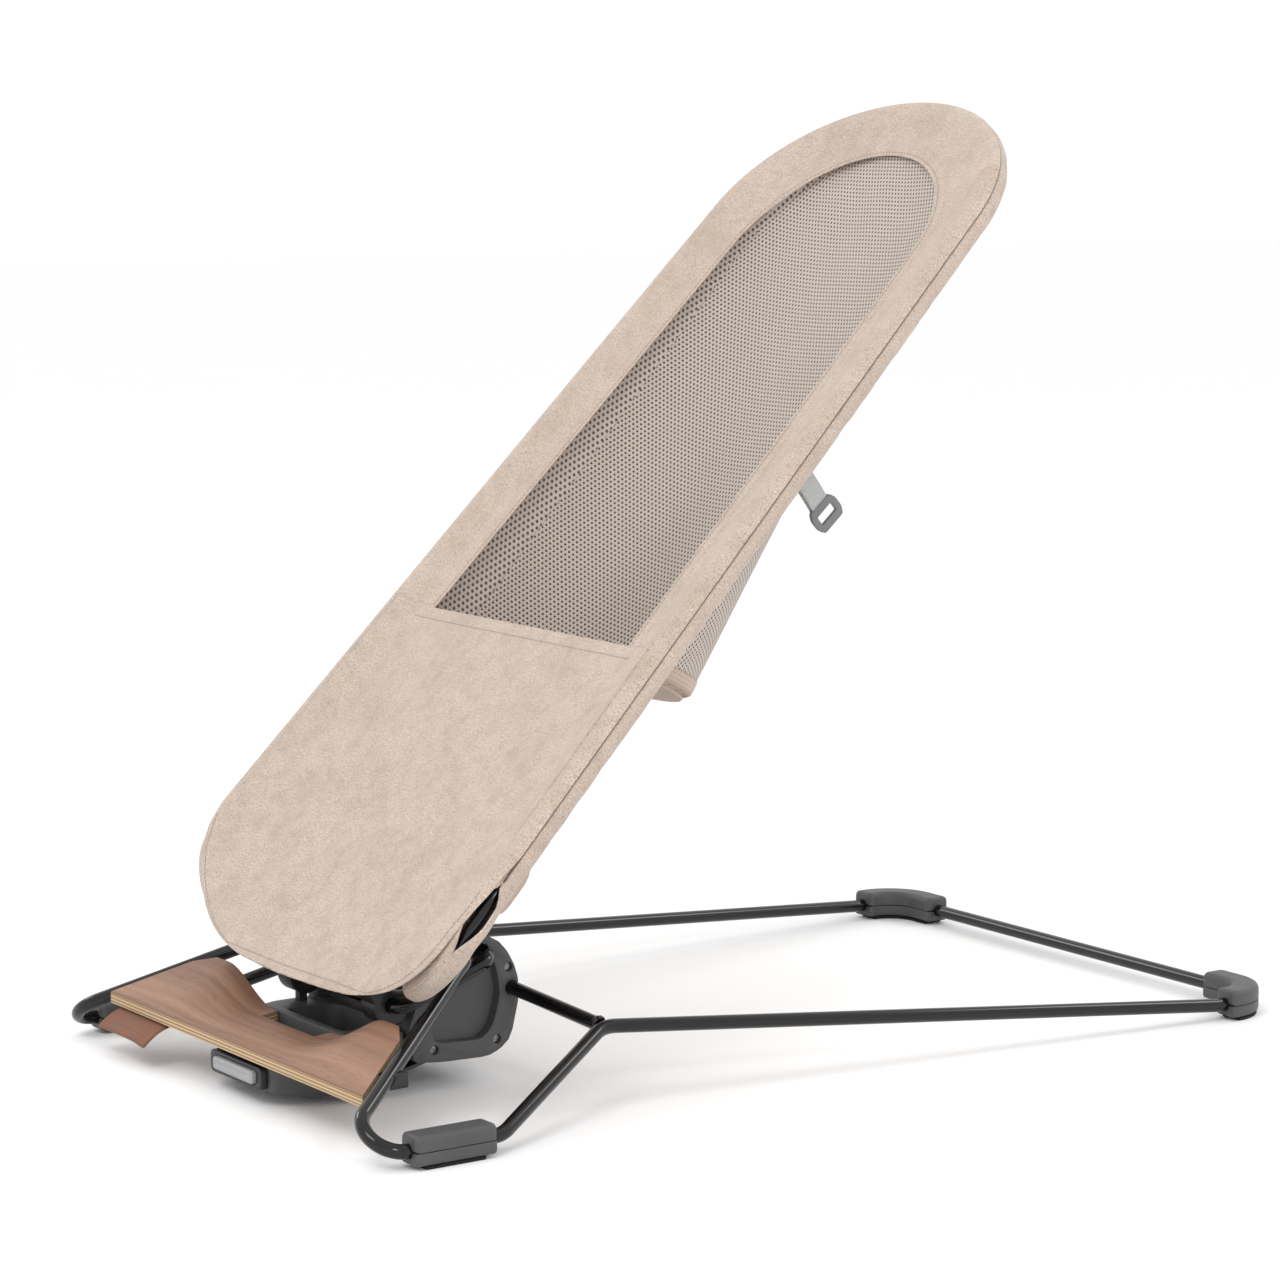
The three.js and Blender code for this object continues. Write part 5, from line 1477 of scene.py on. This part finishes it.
@dataclass
class SeatFrame:
    """The seat's tube frame inside its cloth sleeve."""

    shop: Shop
    plane: SeatPlane
    radius: float = 0.00475
    half_width: float = 0.1679
    taper: float = 0.05
    side_top: float = 0.541
    head_rise: float = 0.1007
    side_bottom: float = -0.030
    cross: Triple = (0.084, -0.095, -0.033)
    splice: float = 0.120

    def rail_x(self, t: Array | float) -> Array | float:
        """Distance of the rail's axis from the middle plane."""
        return self.half_width - self.taper * np.asarray(t, float)

    def curl(self, s: Array) -> Array:
        """The rail's inward curl, from 0 at its top to 1 at the cross tube, as x, t, n."""
        half, ct, cn = self.cross
        low = self.side_bottom
        p = [vec(float(self.rail_x(low)), low, 0), vec(float(self.rail_x(low - 0.05)), low - 0.05, -0.003),
             vec(half + 0.042, ct, cn), vec(half, ct, cn)]
        s = np.asarray(s, float)[:, None]
        return (1 - s) ** 3 * p[0] + 3 * s * (1 - s) ** 2 * p[1] + 3 * s * s * (1 - s) * p[2] + s ** 3 * p[3]

    def side_line(self, low: float, high: float, count: int) -> Array:
        """The straight rail between two places, as x, t, n."""
        t = np.linspace(low, high, count)
        return np.stack([self.rail_x(t), t, t * 0], axis=1)

    def head_line(self, count: int) -> Array:
        """The head arc from one rail round to the other, as x, t, n."""
        a = np.linspace(0, math.pi, count)
        return np.stack([self.rail_x(self.side_top) * np.cos(a), self.side_top + \
                        self.head_rise * np.sin(a), a * 0], axis=1)

    def space(self, line: Array) -> Array:
        """Rows of x, t, n as points in design space."""
        return self.plane.at(line[..., 0], line[..., 1], line[..., 2])

    def build(self) -> None:
        """Makes both halves of the frame."""
        up = np.concatenate([self.side_line(self.splice + 0.0003, self.side_top, 40), self.head_line(60)[1:-1],
                             (self.side_line(self.splice + 0.0003, self.side_top, 40) * vec(-1, 1, 1))[::-1]])
        half = np.concatenate([self.side_line(self.splice - 0.0003, self.side_bottom, 14),
                              self.curl(np.linspace(0, 1, 30))[1:]])
        lower = np.concatenate([half, (half * vec(-1, 1, 1))[::-1]])
        for name, line, node in (("seat_frame_upper_tube", up, "seat_frame_upper"),
                                 ("seat_frame_lower_tube", lower, "seat_frame_lower")):
            draft = self.shop.draft()
            loft(draft, tube_rings(self.space(line), self.radius, 26))
            self.shop.place(draft.build(name, [self.shop.finishes.coat], 60), Body.SEAT, Slot.TUBE, node)


@dataclass
class SeatCover:
    """The twill cover: sleeve round the frame, border round the window, front flap, seams and zip."""

    shop: Shop
    frame: SeatFrame
    sleeve_radius: float = 0.0094
    wrap_radius: float = 0.0102
    thickness: float = 0.0012
    zip_angle: float = 33.0
    leave_angle: float = 106.0
    window_bottom: float = 0.166
    window_half: float = 0.120
    window_top: float = 0.604
    window_arc: float = 0.096
    flap_start: float = -0.024
    flap_end: float = -0.118
    sleeve_stop: float = 0.76

    def window_x(self, t: Array | float) -> Array | float:
        """Half the window's width beside its straight sides."""
        return self.window_half - self.frame.taper * (np.asarray(t, float) - self.window_bottom)

    def build(self) -> None:
        """Makes every piece of the cover."""
        self._sleeve()
        self._border()
        self._flap()

    def _sleeve(self) -> None:
        """The tube of cloth on the frame, with a soft roll at each end."""
        curl = self.frame.curl(np.linspace(self.sleeve_stop, 0, 26))
        half = np.concatenate([curl[:-1], self.frame.side_line(self.frame.side_bottom, self.frame.side_top, 110)[:-1]])
        line = np.concatenate([half, self.frame.head_line(70), (half * vec(-1, 1, 1))[::-1]])
        path = self.frame.space(line)
        around = 41
        side, up = frames(path, self.frame.plane.turn(0, 0, 1))
        open_up = (smooth(line[:, 1], -0.021, -0.036) * smooth(line[:, 1], -0.068, -0.046))[:, None]
        share = np.linspace(0, 1, around)[None]
        angle = np.radians((self.zip_angle + 1.5 + 52 * open_up) * (1 - share) + \
                           (self.zip_angle + 358.5 - 42 * open_up) * share)
        run = travel(path)
        ends = np.minimum(run, run[-1] - run)
        radius = self.sleeve_radius - self.thickness / 2 - 0.0012 * (1 - smooth(ends, 0.0, 0.004))
        ring = np.cos(angle)[..., None] * side[:, None] + np.sin(angle)[..., None] * up[:, None]
        round_way = angle * 0.011
        creases = ripple(np.stack(np.broadcast_arrays(run[:, None], round_way, round_way * 0), axis=-1), 70.0, 3.0)
        swell = radius[:, None] + creases * 0.0005 * (0.8 - 0.5 * np.sin(angle))
        points = path[:, None] + swell[..., None] * ring
        uv = np.stack(np.broadcast_arrays(angle * self.sleeve_radius, run[:, None]), axis=-1)
        draft = self.shop.draft()
        cloth_sheet(draft, points, uv, self.thickness)
        piece = draft.build("rail_sleeve_cloth", [self.shop.finishes.twill], 180)
        self.shop.place(piece, Body.SEAT, Slot.CLOTH, "rail_sleeve")

    def _over_tube(self, axis: Array, out: Array, angles: Array) -> Array:
        """Points of the cover on top of the frame's tube.

        Args:
            axis: Points of the tube's axis as x, t, n, N by 3.
            out: Outward directions in the seat plane, N by 3.
            angles: Angles round the tube in degrees, one array for each point or one for all.

        Returns:
            N by angles by 3, as x, t, n.
        """
        a = np.radians(np.broadcast_to(angles, (len(axis), np.shape(angles)[-1])))[..., None]
        return axis[:, None] + self.wrap_radius * (np.cos(a) * out[:, None] + np.sin(a) * vec(0, 0, 1))

    def _border(self) -> None:
        """The border between the frame and the window, in one piece round the head."""
        f = self.frame
        sides, arcs = 76, 84
        low = self.window_bottom
        outer_side = f.side_line(low, f.side_top, sides)
        outer = np.concatenate([outer_side[:-1], f.head_line(arcs), (outer_side * vec(-1, 1, 1))[::-1][1:]])
        top = self.window_top - self.window_arc
        t = np.linspace(low, top, sides)
        inner_side = np.stack([self.window_x(t), t, t * 0], axis=1)
        a = np.linspace(0, math.pi, arcs)
        inner_arc = np.stack([self.window_x(top) * np.cos(a), top + self.window_arc * np.sin(a), a * 0], axis=1)
        inner = np.concatenate([inner_side[:-1], inner_arc, (inner_side * vec(-1, 1, 1))[::-1][1:]])
        tangent = unit(np.gradient(outer, axis=0))
        out = np.stack([tangent[:, 1], -tangent[:, 0], tangent[:, 0] * 0], axis=1)
        wrap = self._over_tube(outer, out, np.linspace(self.zip_angle, self.leave_angle, 9))
        lip = wrap[:, -1]
        s = np.concatenate([np.linspace(0, 0.72, 13)[1:], np.linspace(0.74, 1.0, 12)])
        fall = (1 - s) ** 1.25
        flat = lip[:, None] + (inner - lip)[:, None] * s[None, :, None]
        flat[..., 2] = lip[:, 2][:, None] * fall + 0.0004 - 0.0016 * np.sin(math.pi * s)[None]
        width = np.linalg.norm((inner - lip)[:, :2], axis=1)
        from_edge = (1 - s)[None] * width[:, None]
        flat[..., 2] += 0.0007 * smooth(from_edge, 0.0108, 0.0098)
        grid = np.concatenate([wrap, flat], axis=1)
        run = travel(outer)
        pucker = ripple(np.stack([run, run * 0, run * 0], axis=1), 75.0, 11.0)
        near_edge = np.exp(-np.abs(from_edge - 0.012) / 0.006)
        grid[:, 9:, 2] += 0.00045 * pucker[:, None] * near_edge
        slow = ripple(np.stack(np.broadcast_arrays(grid[..., 0], grid[..., 1], grid[..., 2] * 0), axis=-1), 16.0, 5.0)
        mask = np.concatenate([np.zeros(9), np.sin(math.pi * s)])
        grid[..., 2] += 0.0012 * slow * mask[None]
        surface = f.space(grid)
        uv = np.stack([grid[..., 0], grid[..., 1]], axis=-1)
        draft = self.shop.draft()
        cloth_sheet(draft, surface, uv, self.thickness)
        seam = np.argmin(np.abs(from_edge[len(from_edge) // 4] - 0.0030)) + 9
        normal = unit(np.cross(np.gradient(surface, axis=1), np.gradient(surface, axis=0)))
        line, lift = surface[:, seam], -normal[:, seam]
        lift = np.where((lift @ f.plane.turn(0, 0, 1))[:, None] < 0, -lift, lift)
        stitches(draft, line + lift * 0.00068, lift, slot=1)
        piece = draft.build("seat_border_cloth", [self.shop.finishes.twill, self.shop.finishes.thread], 180)
        self.shop.place(piece, Body.SEAT, Slot.CLOTH, "seat_panel")
        self._zip(outer)

    def _zip(self, outer: Array) -> None:
        """The closed zip along the outside of the rails, under the cover's edge."""
        low_side = self.frame.side_line(self.flap_start + 0.004, self.window_bottom, 24)
        line = np.concatenate([low_side[:-1], outer, (low_side * vec(-1, 1, 1))[::-1][1:]])
        tangent = unit(np.gradient(line, axis=0))
        away = np.stack([tangent[:, 1], -tangent[:, 0], tangent[:, 0] * 0], axis=1)
        seat = self._over_tube(line, away, np.array([self.zip_angle - 2.0]))[:, 0]
        seat = line + (seat - line) * 0.97
        draft = self.shop.draft()
        loft(draft, tube_rings(self.frame.space(seat), 0.00055, 10))
        piece = draft.build("cover_zip_coil", [self.shop.finishes.zip_tape], 180)
        self.shop.place(piece, Body.SEAT, Slot.CLOTH)

    def _edge(self, t: float, bend: float) -> Array:
        """The flap's edge from its flat part to its lip, in rows of x, t, n.

        Args:
            t: Place along the rails.
            bend: 0 at the place where the edge leaves the rail, 1 at the hem's lowest point.

        Returns:
            Nine points, the lip last.
        """
        f = self.frame
        free = float(smooth(np.array(t), self.flap_start + 0.026, self.flap_start))
        angles = np.linspace(self.leave_angle, self.zip_angle + 14 * free, 9)
        rim = self._over_tube(vec(float(f.rail_x(max(t, self.flap_start))), t, 0)
                              [None], vec(0.99875, 0.05, 0)[None], angles)[0]
        if bend <= 0:
            return rim
        level = np.interp(
    bend, [
        0, 0.2, 0.38, 0.6, 0.75, 0.9, 1], [
            0, -0.0004, -0.0024, -0.0090, -0.0142, -0.0200, -0.0230])
        rim[:, 0] *= (1 - bend ** 1.6) ** (1 / 3.8)
        flat = smooth(np.array(bend), 0.0, 0.25)
        rim[:, 2] = rim[:, 2] * (1 - flat) + rim[-1, 2] * flat + level
        return rim

    def _flap(self) -> None:
        """The front flap: over the rails above, then free over the frame's curl to a round stitched hem."""
        theta = np.linspace(0, math.pi / 2, 64)
        bends = np.concatenate([np.zeros(83), np.sin(theta) ** 1.25])
        bends[-1] = 1.0
        drop = self.flap_start + (self.flap_end - self.flap_start) * bends[83:]
        v = np.concatenate([np.linspace(self.window_bottom, self.flap_start, 84)[:-1], drop])
        columns, wrapped = 71, 9
        grid = np.zeros((len(v), columns + 2 * wrapped, 3))
        u = np.linspace(-1, 1, columns)
        share = np.abs(u)
        for r, t in enumerate(v):
            edge = self._edge(float(t), float(min(bends[r], 0.9995)))
            lip = edge[0]
            window = float(self.window_x(t))
            s = np.clip((lip[0] - share * lip[0]) / max(lip[0] - window, 0.01), 0, 1)
            near_window = lip[2] * (1 - s) ** 1.25 + 0.0011 - 0.0016 * np.sin(math.pi * s)
            centre = np.interp(t, [self.flap_end, -0.095, -0.060, -0.020, 0.060, 0.166],
                               [-0.0152, -0.0150, -0.0118, -0.0080, -0.0040, 0.0])
            hollow = centre + (lip[2] - centre) * share ** 3.0
            top = smooth(np.array(t), -0.010, 0.120)
            height = near_window * top + hollow * (1 - top) + centre * top * (1 - share ** 2.4)
            grid[r, wrapped:-wrapped] = np.stack([u * lip[0], np.full(columns, t), height], axis=1)
            grid[r, -wrapped:] = edge
            grid[r, :wrapped] = (edge * vec(-1, 1, 1))[::-1]
        inner = grid[..., 0] / np.maximum(np.abs(grid[:, -wrapped - 1:-wrapped, 0]), 1e-4)
        mask = np.clip(1 - np.abs(inner) ** 6, 0, 1) * \
                       smooth(grid[..., 1], self.window_bottom, self.window_bottom - 0.03)
        place = np.stack([grid[..., 0], grid[..., 1], grid[..., 0] * 0], axis=-1)
        folds = ripple(place * vec(1.0, 0.35, 1), 17.0, 21.0) + 0.4 * ripple(place * vec(1, 0.6, 1), 40.0, 4.0)
        lower = smooth(grid[..., 1], 0.05, -0.09)
        grid[..., 2] += mask * folds * (0.0003 + 0.0024 * lower)
        pull = np.sin((np.abs(grid[..., 0]) * 1.2 + grid[..., 1]) * 80.0) * \
                      np.exp(-((np.abs(grid[..., 0]) - 0.105) / 0.04) ** 2)
        grid[..., 2] += mask * pull * 0.0010 * smooth(grid[..., 1], 0.02, -0.05)
        grid[..., 0] += 0.005 * smooth(grid[..., 1], -0.035, -0.10)
        surface = self.frame.space(grid)
        uv = np.stack([grid[..., 0], grid[..., 1]], axis=-1)
        draft = self.shop.draft()
        cloth_sheet(draft, surface[::-1], uv[::-1], self.thickness)
        self._flap_stitches(draft, surface, v)
        piece = draft.build("front_flap_cloth", [self.shop.finishes.twill, self.shop.finishes.thread], 180)
        self.shop.place(piece, Body.SEAT, Slot.CLOTH, "seat_panel")

    def _flap_stitches(self, draft: Draft, surface: Array, v: Array) -> None:
        """Topstitching inside the flap's hem and under its top fold."""
        up = self.frame.plane.turn(0, 0, 1)
        rows = [r for r in range(len(v)) if v[r] < self.flap_start - 0.006]
        low = self.frame.plane.turn(0, 1, 0)
        lines = []
        for side in (1, -1):
            line = [self._inside(surface, r, 0.006, side) for r in rows if v[r] > self.flap_end + 0.006]
            lines.append(np.array(line))
        floor = surface[-1].mean(axis=0) + low * 0.006
        half = np.linspace(1, -1, 40)[1:-1, None]
        bottom = (lines[0][-1] + lines[1][-1]) / 2 + (lines[0][-1] - lines[1][-1]) / 2 * half
        bottom += low * ((floor - bottom) @ low)[:, None] * (1 - np.abs(half) ** 3)
        line = np.concatenate([lines[0], bottom, lines[1][::-1]])
        flat = surface.reshape(-1, 3)
        snug = np.array(
            [p + up * ((flat[np.argmin(((flat - p) ** 2).sum(axis=1) - ((flat - p) @ up) ** 2)] - p) @ up) for p in line])
        stitches(draft, snug + up * 0.0008, np.tile(up, (len(snug), 1)), slot=1)
        row = surface[4, 14:-14]
        stitches(draft, row + up * 0.00075, np.tile(up, (len(row), 1)), slot=1)

    @staticmethod
    def _inside(surface: Array, row: int, distance: float, side: int) -> Array:
        """A point of a row, a distance in from its edge."""
        line = surface[row][::-1] if side > 0 else surface[row]
        run = travel(line)
        return np.array([np.interp(min(distance, run[-1] / 2), run, line[:, k]) for k in range(3)])


@dataclass
class Sling:
    """The mesh sling behind the window, the knit pouch below it and the harness tails."""

    shop: Shop
    frame: SeatFrame
    cover: SeatCover
    depth: float = 0.108
    fall: float = 0.24
    bottom: float = 0.198
    drop: float = 0.0030
    edge_low: float = 0.040
    pouch_half: float = 0.139
    lobe: float = 0.020

    def sag(self, t: Array) -> Array:
        """Depth of the hollow."""
        head = np.clip((self.cover.window_top - t) / 0.070, 0, 1)
        return (self.depth - self.fall * (t - self.cover.window_bottom)) * np.sqrt(head * (2 - head))

    def half(self, t: Array) -> Array:
        """Half the sling's width."""
        side_top = self.cover.window_top - self.cover.window_arc
        straight = self.cover.window_half + 0.007 - self.frame.taper * (t - self.cover.window_bottom)
        s = np.clip((t - side_top) / (self.cover.window_arc + 0.007), 0, 1)
        return straight * np.sqrt(np.clip(1 - s * s, 0, 1))

    def surface(self, u: Array, v: Array) -> Array:
        """Points of the sling as x, t, n, for u across and v up."""
        angle = math.pi * (1 - u)
        low = self.bottom - self.edge_low * (1 - np.sin(angle))
        t = low + (self.cover.window_top + 0.004 - low) * v
        n = -self.drop - self.sag(t) * np.sin(angle)
        return np.stack([self.half(t) * np.cos(angle), t, n], axis=-1)

    def build(self) -> None:
        """Makes the sling, its edge strips, the pouch and the harness tails."""
        self._mesh()
        self._pouch()
        for name, side in SIDES:
            self._strap(name, side)

    def _mesh(self) -> None:
        """The sling's sheet, with a strip of opener mesh along each side and a bound lower edge."""
        u, v = np.meshgrid(np.linspace(0, 1, 97), np.linspace(0, 1, 141))
        grid = self.surface(u, v)
        place = np.stack([u * 0.3, grid[..., 1], u * 0], axis=-1)
        soft = ripple(place * vec(1.6, 0.5, 1), 14.0, 8.0)
        grid[..., 2] += 0.0016 * soft * np.sin(math.pi * u) * smooth(v, 1.0, 0.9)
        points = self.frame.space(grid)
        across = travel(points, 1)
        uv = np.stack([across - across[:, -1:] / 2, grid[..., 1]], axis=-1)
        draft = self.shop.draft()
        cut = 9
        cloth_sheet(draft, points[:, cut - 1:-cut + 1], uv[:, cut - 1:-cut + 1], 0.0018)
        for part in (slice(0, cut), slice(-cut, None)):
            cloth_sheet(draft, points[:, part], uv[:, part], 0.0016, 1)
        piece = draft.build("mesh_sling_cloth", [self.shop.finishes.mesh, self.shop.finishes.edge_mesh], 180)
        self.shop.place(piece, Body.SEAT, Slot.MESH, "mesh_sling")
        self._binding(points)

    def _binding(self, points: Array) -> None:
        """Folded tape over the sling's lower edge."""
        edge, above = points[0], points[3]
        down = unit(edge - above)
        out = unit(np.cross(np.gradient(edge, axis=0), down))
        rows = []
        for side, drop in ((0.0014, -0.009), (0.0017, -0.004), (0.0015, 0.0006), (0.0, 0.0022),
                           (-0.0015, 0.0006), (-0.0017, -0.004), (-0.0014, -0.009)):
            rows.append(edge + down * drop + out * side)
        grid = np.array(rows)
        run = travel(edge)
        uv = np.stack(np.broadcast_arrays(np.linspace(0, 0.022, 7)[:, None], run[None]), axis=-1)
        draft = self.shop.draft()
        cloth_sheet(draft, grid, uv, 0.0006)
        piece = draft.build("sling_edge_tape", [self.shop.finishes.knit], 180)
        self.shop.place(piece, Body.SEAT, Slot.KNIT)

    def _route(self, v: Array) -> Array:
        """The pouch's middle line as t, n."""
        points = np.array([[192, -103], [176, -72], [136, -50], [90, -46], [46, -60], [23, -73],
                          [8, -65], [9, -54], [19, -47], [11, -50], [9, -42], [10, -32]]) / 1000
        s = np.linspace(0, 1, len(points))
        out = []
        for k in range(2):
            slopes = np.gradient(points[:, k], s)
            i = np.clip(np.searchsorted(s, v, side="right") - 1, 0, len(s) - 2)
            h = (v - s[i]) / (s[i + 1] - s[i])
            step = s[1] - s[0]
            out.append((2 * h ** 3 - 3 * h ** 2 + 1) * points[i, k] + (h ** 3 - 2 * h ** 2 + h) * step * slopes[i]
                       + (-2 * h ** 3 + 3 * h ** 2) * points[i + 1, k] + (h ** 3 - h ** 2) * step * slopes[i + 1])
        return np.stack(out, axis=-1)

    def _pouch(self) -> None:
        """The gathered knit pouch, creased where it folds."""
        u, v = np.meshgrid(np.linspace(0, 1, 121), np.linspace(0, 1, 131))
        route = self._route(v)
        angle = math.pi * (1 - u)
        blend = smooth(v, 0, 0.6)
        half = self.half(np.array(self.bottom)) * (1 - blend) + self.pouch_half * blend
        x = half * np.cos(angle)
        lobe = self.lobe * smooth(np.abs(x), 0.110, 0.132) * smooth(v, 0.38, 0.62)
        t = route[..., 0] - self.edge_low * (1 - np.sin(angle)) * (1 - v) - lobe
        square = 1.0 - 0.46 * smooth(v, 0.38, 0.62)
        edge = self.drop + 0.003 * smooth(v, 0.4, 0.8)
        n = -edge + (route[..., 1] + edge) * np.sin(angle) ** square
        place = np.stack([u * 0.42, v * 0.30, u * 0], axis=-1)
        gather = ripple(place * vec(1.0, 0.22, 1), 42.0, 31.0)
        mid = np.sin(math.pi * u) ** 0.5
        n = n + 0.0028 * gather * mid * smooth(v, 0.05, 0.45)
        t = t + 0.0018 * ripple(place * vec(1, 0.4, 1), 28.0, 13.0) * mid * smooth(v, 0.3, 0.8)
        points = self.frame.plane.at(x, t, n)
        across = travel(points, 1)
        down = travel(points)
        draft = self.shop.draft()
        cloth_sheet(draft, points[::-1], np.stack([across, down], axis=-1)[::-1], 0.0026)
        piece = draft.build("seat_pouch_knit", [self.shop.finishes.knit], 180)
        self.shop.place(piece, Body.SEAT, Slot.KNIT, "seat_pouch")

    def _strap(self, name: str, side: float) -> None:
        """A webbing tail folded through its slotted tab."""
        t = 0.322
        root = self.frame.plane.at(float(self.frame.rail_x(t)), t, -0.0112)
        ring = root + vec(-0.001, 0.0175, -0.0215)
        turn = math.radians(42)
        long_way, down = vec(0, math.cos(turn), math.sin(turn)), vec(0, math.sin(turn), -math.cos(turn))
        start = root + vec(-0.001, -0.002, 0.004)
        reach = ring - down * 0.0055
        rows = []
        for k in np.linspace(0, 1, 14):
            rows.append(start + (reach - start) * k + vec(0.0006, 0, 0) * math.sin(k * math.pi))
        for a in np.linspace(0, math.pi, 8)[1:]:
            rows.append(reach + down * 0.0012 * math.sin(a) + vec(-1, 0, 0) * 0.0013 * (1 - math.cos(a)))
        for k in np.linspace(0, 1, 10)[1:]:
            rows.append(reach + vec(-0.0026, 0, 0) + (start - reach) * 0.8 * k)
        rows = np.array(rows)
        across = np.linspace(-0.0072, 0.0072, 9)
        grid = rows[:, None] + across[None, :, None] * long_way
        run = travel(rows)
        uv = np.stack(np.broadcast_arrays(across[None], run[:, None]), axis=-1)
        draft = self.shop.draft()
        surface = grid * vec(side, 1, 1)
        cloth_sheet(draft, surface if side > 0 else surface[:, ::-1], uv, 0.0011)
        strap = draft.build(f"{name}_strap_webbing", [self.shop.finishes.webbing], 180)
        self.shop.place(strap, Body.SEAT, Slot.WEBBING, f"{name}_strap")
        tab = self.shop.refined(f"{name}_strap_tab", self.shop.finishes.tab, Body.SEAT, Slot.PLASTIC, 0.0007)
        LOG.info("%s carries %s", tab.name, strap.name)


# ------------------------------------------------------------------ studio
@dataclass
class Studio:
    """Floor, lights and camera."""

    shift: Array
    eye: Triple = (2.0864, -1.1747, 0.6181)
    azimuth: float = 55.44
    elevation: float = 7.74
    lens: float = 104.98

    def camera(self) -> None:
        """Places the camera."""
        data = bpy.data.cameras.new("Camera")
        data.lens, data.sensor_width, data.clip_end = self.lens, 36.0, 50.0
        made = bpy.data.objects.new("Camera", data)
        made.location = Vector(vec(*self.eye) + self.shift)
        made.rotation_euler = (math.radians(90 - self.elevation), 0.0, math.radians(self.azimuth))
        bpy.context.scene.collection.objects.link(made)
        bpy.context.scene.camera = made

    def _lamp(self, name: str, place: Triple, size: float, power: float) -> None:
        """A soft square lamp that looks at the seat."""
        data = bpy.data.lights.new(name, "AREA")
        data.size, data.energy = size, power
        made = bpy.data.objects.new(name, data)
        made.location = place
        made.rotation_euler = (Vector((0, 0, 0.25)) - Vector(place)).to_track_quat("-Z", "Y").to_euler()
        bpy.context.scene.collection.objects.link(made)

    def build(self, floor: bpy.types.Material) -> None:
        """Makes the floor, the lamps and the surrounding light.

        Args:
            floor: The floor's finish.
        """
        mesh = bpy.data.meshes.new("studio_floor")
        mesh.from_pydata([(-14, -14, 0), (14, -14, 0), (14, 14, 0), (-14, 14, 0)], [], [(0, 1, 2, 3)])
        mesh.materials.append(floor)
        plane = bpy.data.objects.new("studio_floor", mesh)
        bpy.context.scene.collection.objects.link(plane)
        self._lamp("key_lamp", (0.9, -1.9, 2.4), 1.1, 20.0)
        self._lamp("near_strip", (2.6, -0.4, 1.5), 0.35, 9.0)
        self._lamp("fill_lamp", (-2.2, -1.0, 1.6), 0.8, 8.0)
        self._lamp("back_lamp", (0.8, 2.4, 2.2), 0.9, 12.0)
        world = bpy.data.worlds.new("Soft studio")
        world.use_nodes = True
        background = world.node_tree.nodes["Background"]
        background.inputs[0].default_value = (1.0, 1.0, 1.0, 1.0)
        background.inputs[1].default_value = 1.06
        bpy.context.scene.world = world
        bpy.context.scene.view_settings.view_transform = "Standard"


def corners(box: Any) -> list[list[float]]:
    """A box's two corners as plain lists."""
    return [[float(c) for c in corner] for corner in box]


def main() -> None:
    """Builds the bouncer round its CAD frame."""
    logging.basicConfig(level=logging.INFO, format="%(name)s: %(message)s")
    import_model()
    low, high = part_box("rear_cross_tube")
    shift = vec(0.0, (low.y + high.y) / 2 - WireBase.rear_y, 0.0)
    studio = Studio(shift)
    studio.camera()
    finishes = Wardrobe()
    shop = Shop(finishes, shift)
    studio.build(finishes.floor)
    base = WireBase(shop)
    base.build()
    Feet(shop, base).build()
    FootBoard(shop).build()
    Hub(shop).build()
    plane = SeatPlane()
    frame = SeatFrame(shop, plane)
    frame.build()
    cover = SeatCover(shop, frame)
    cover.build()
    Sling(shop, frame, cover).build()


if __name__ == "__main__":
    main()
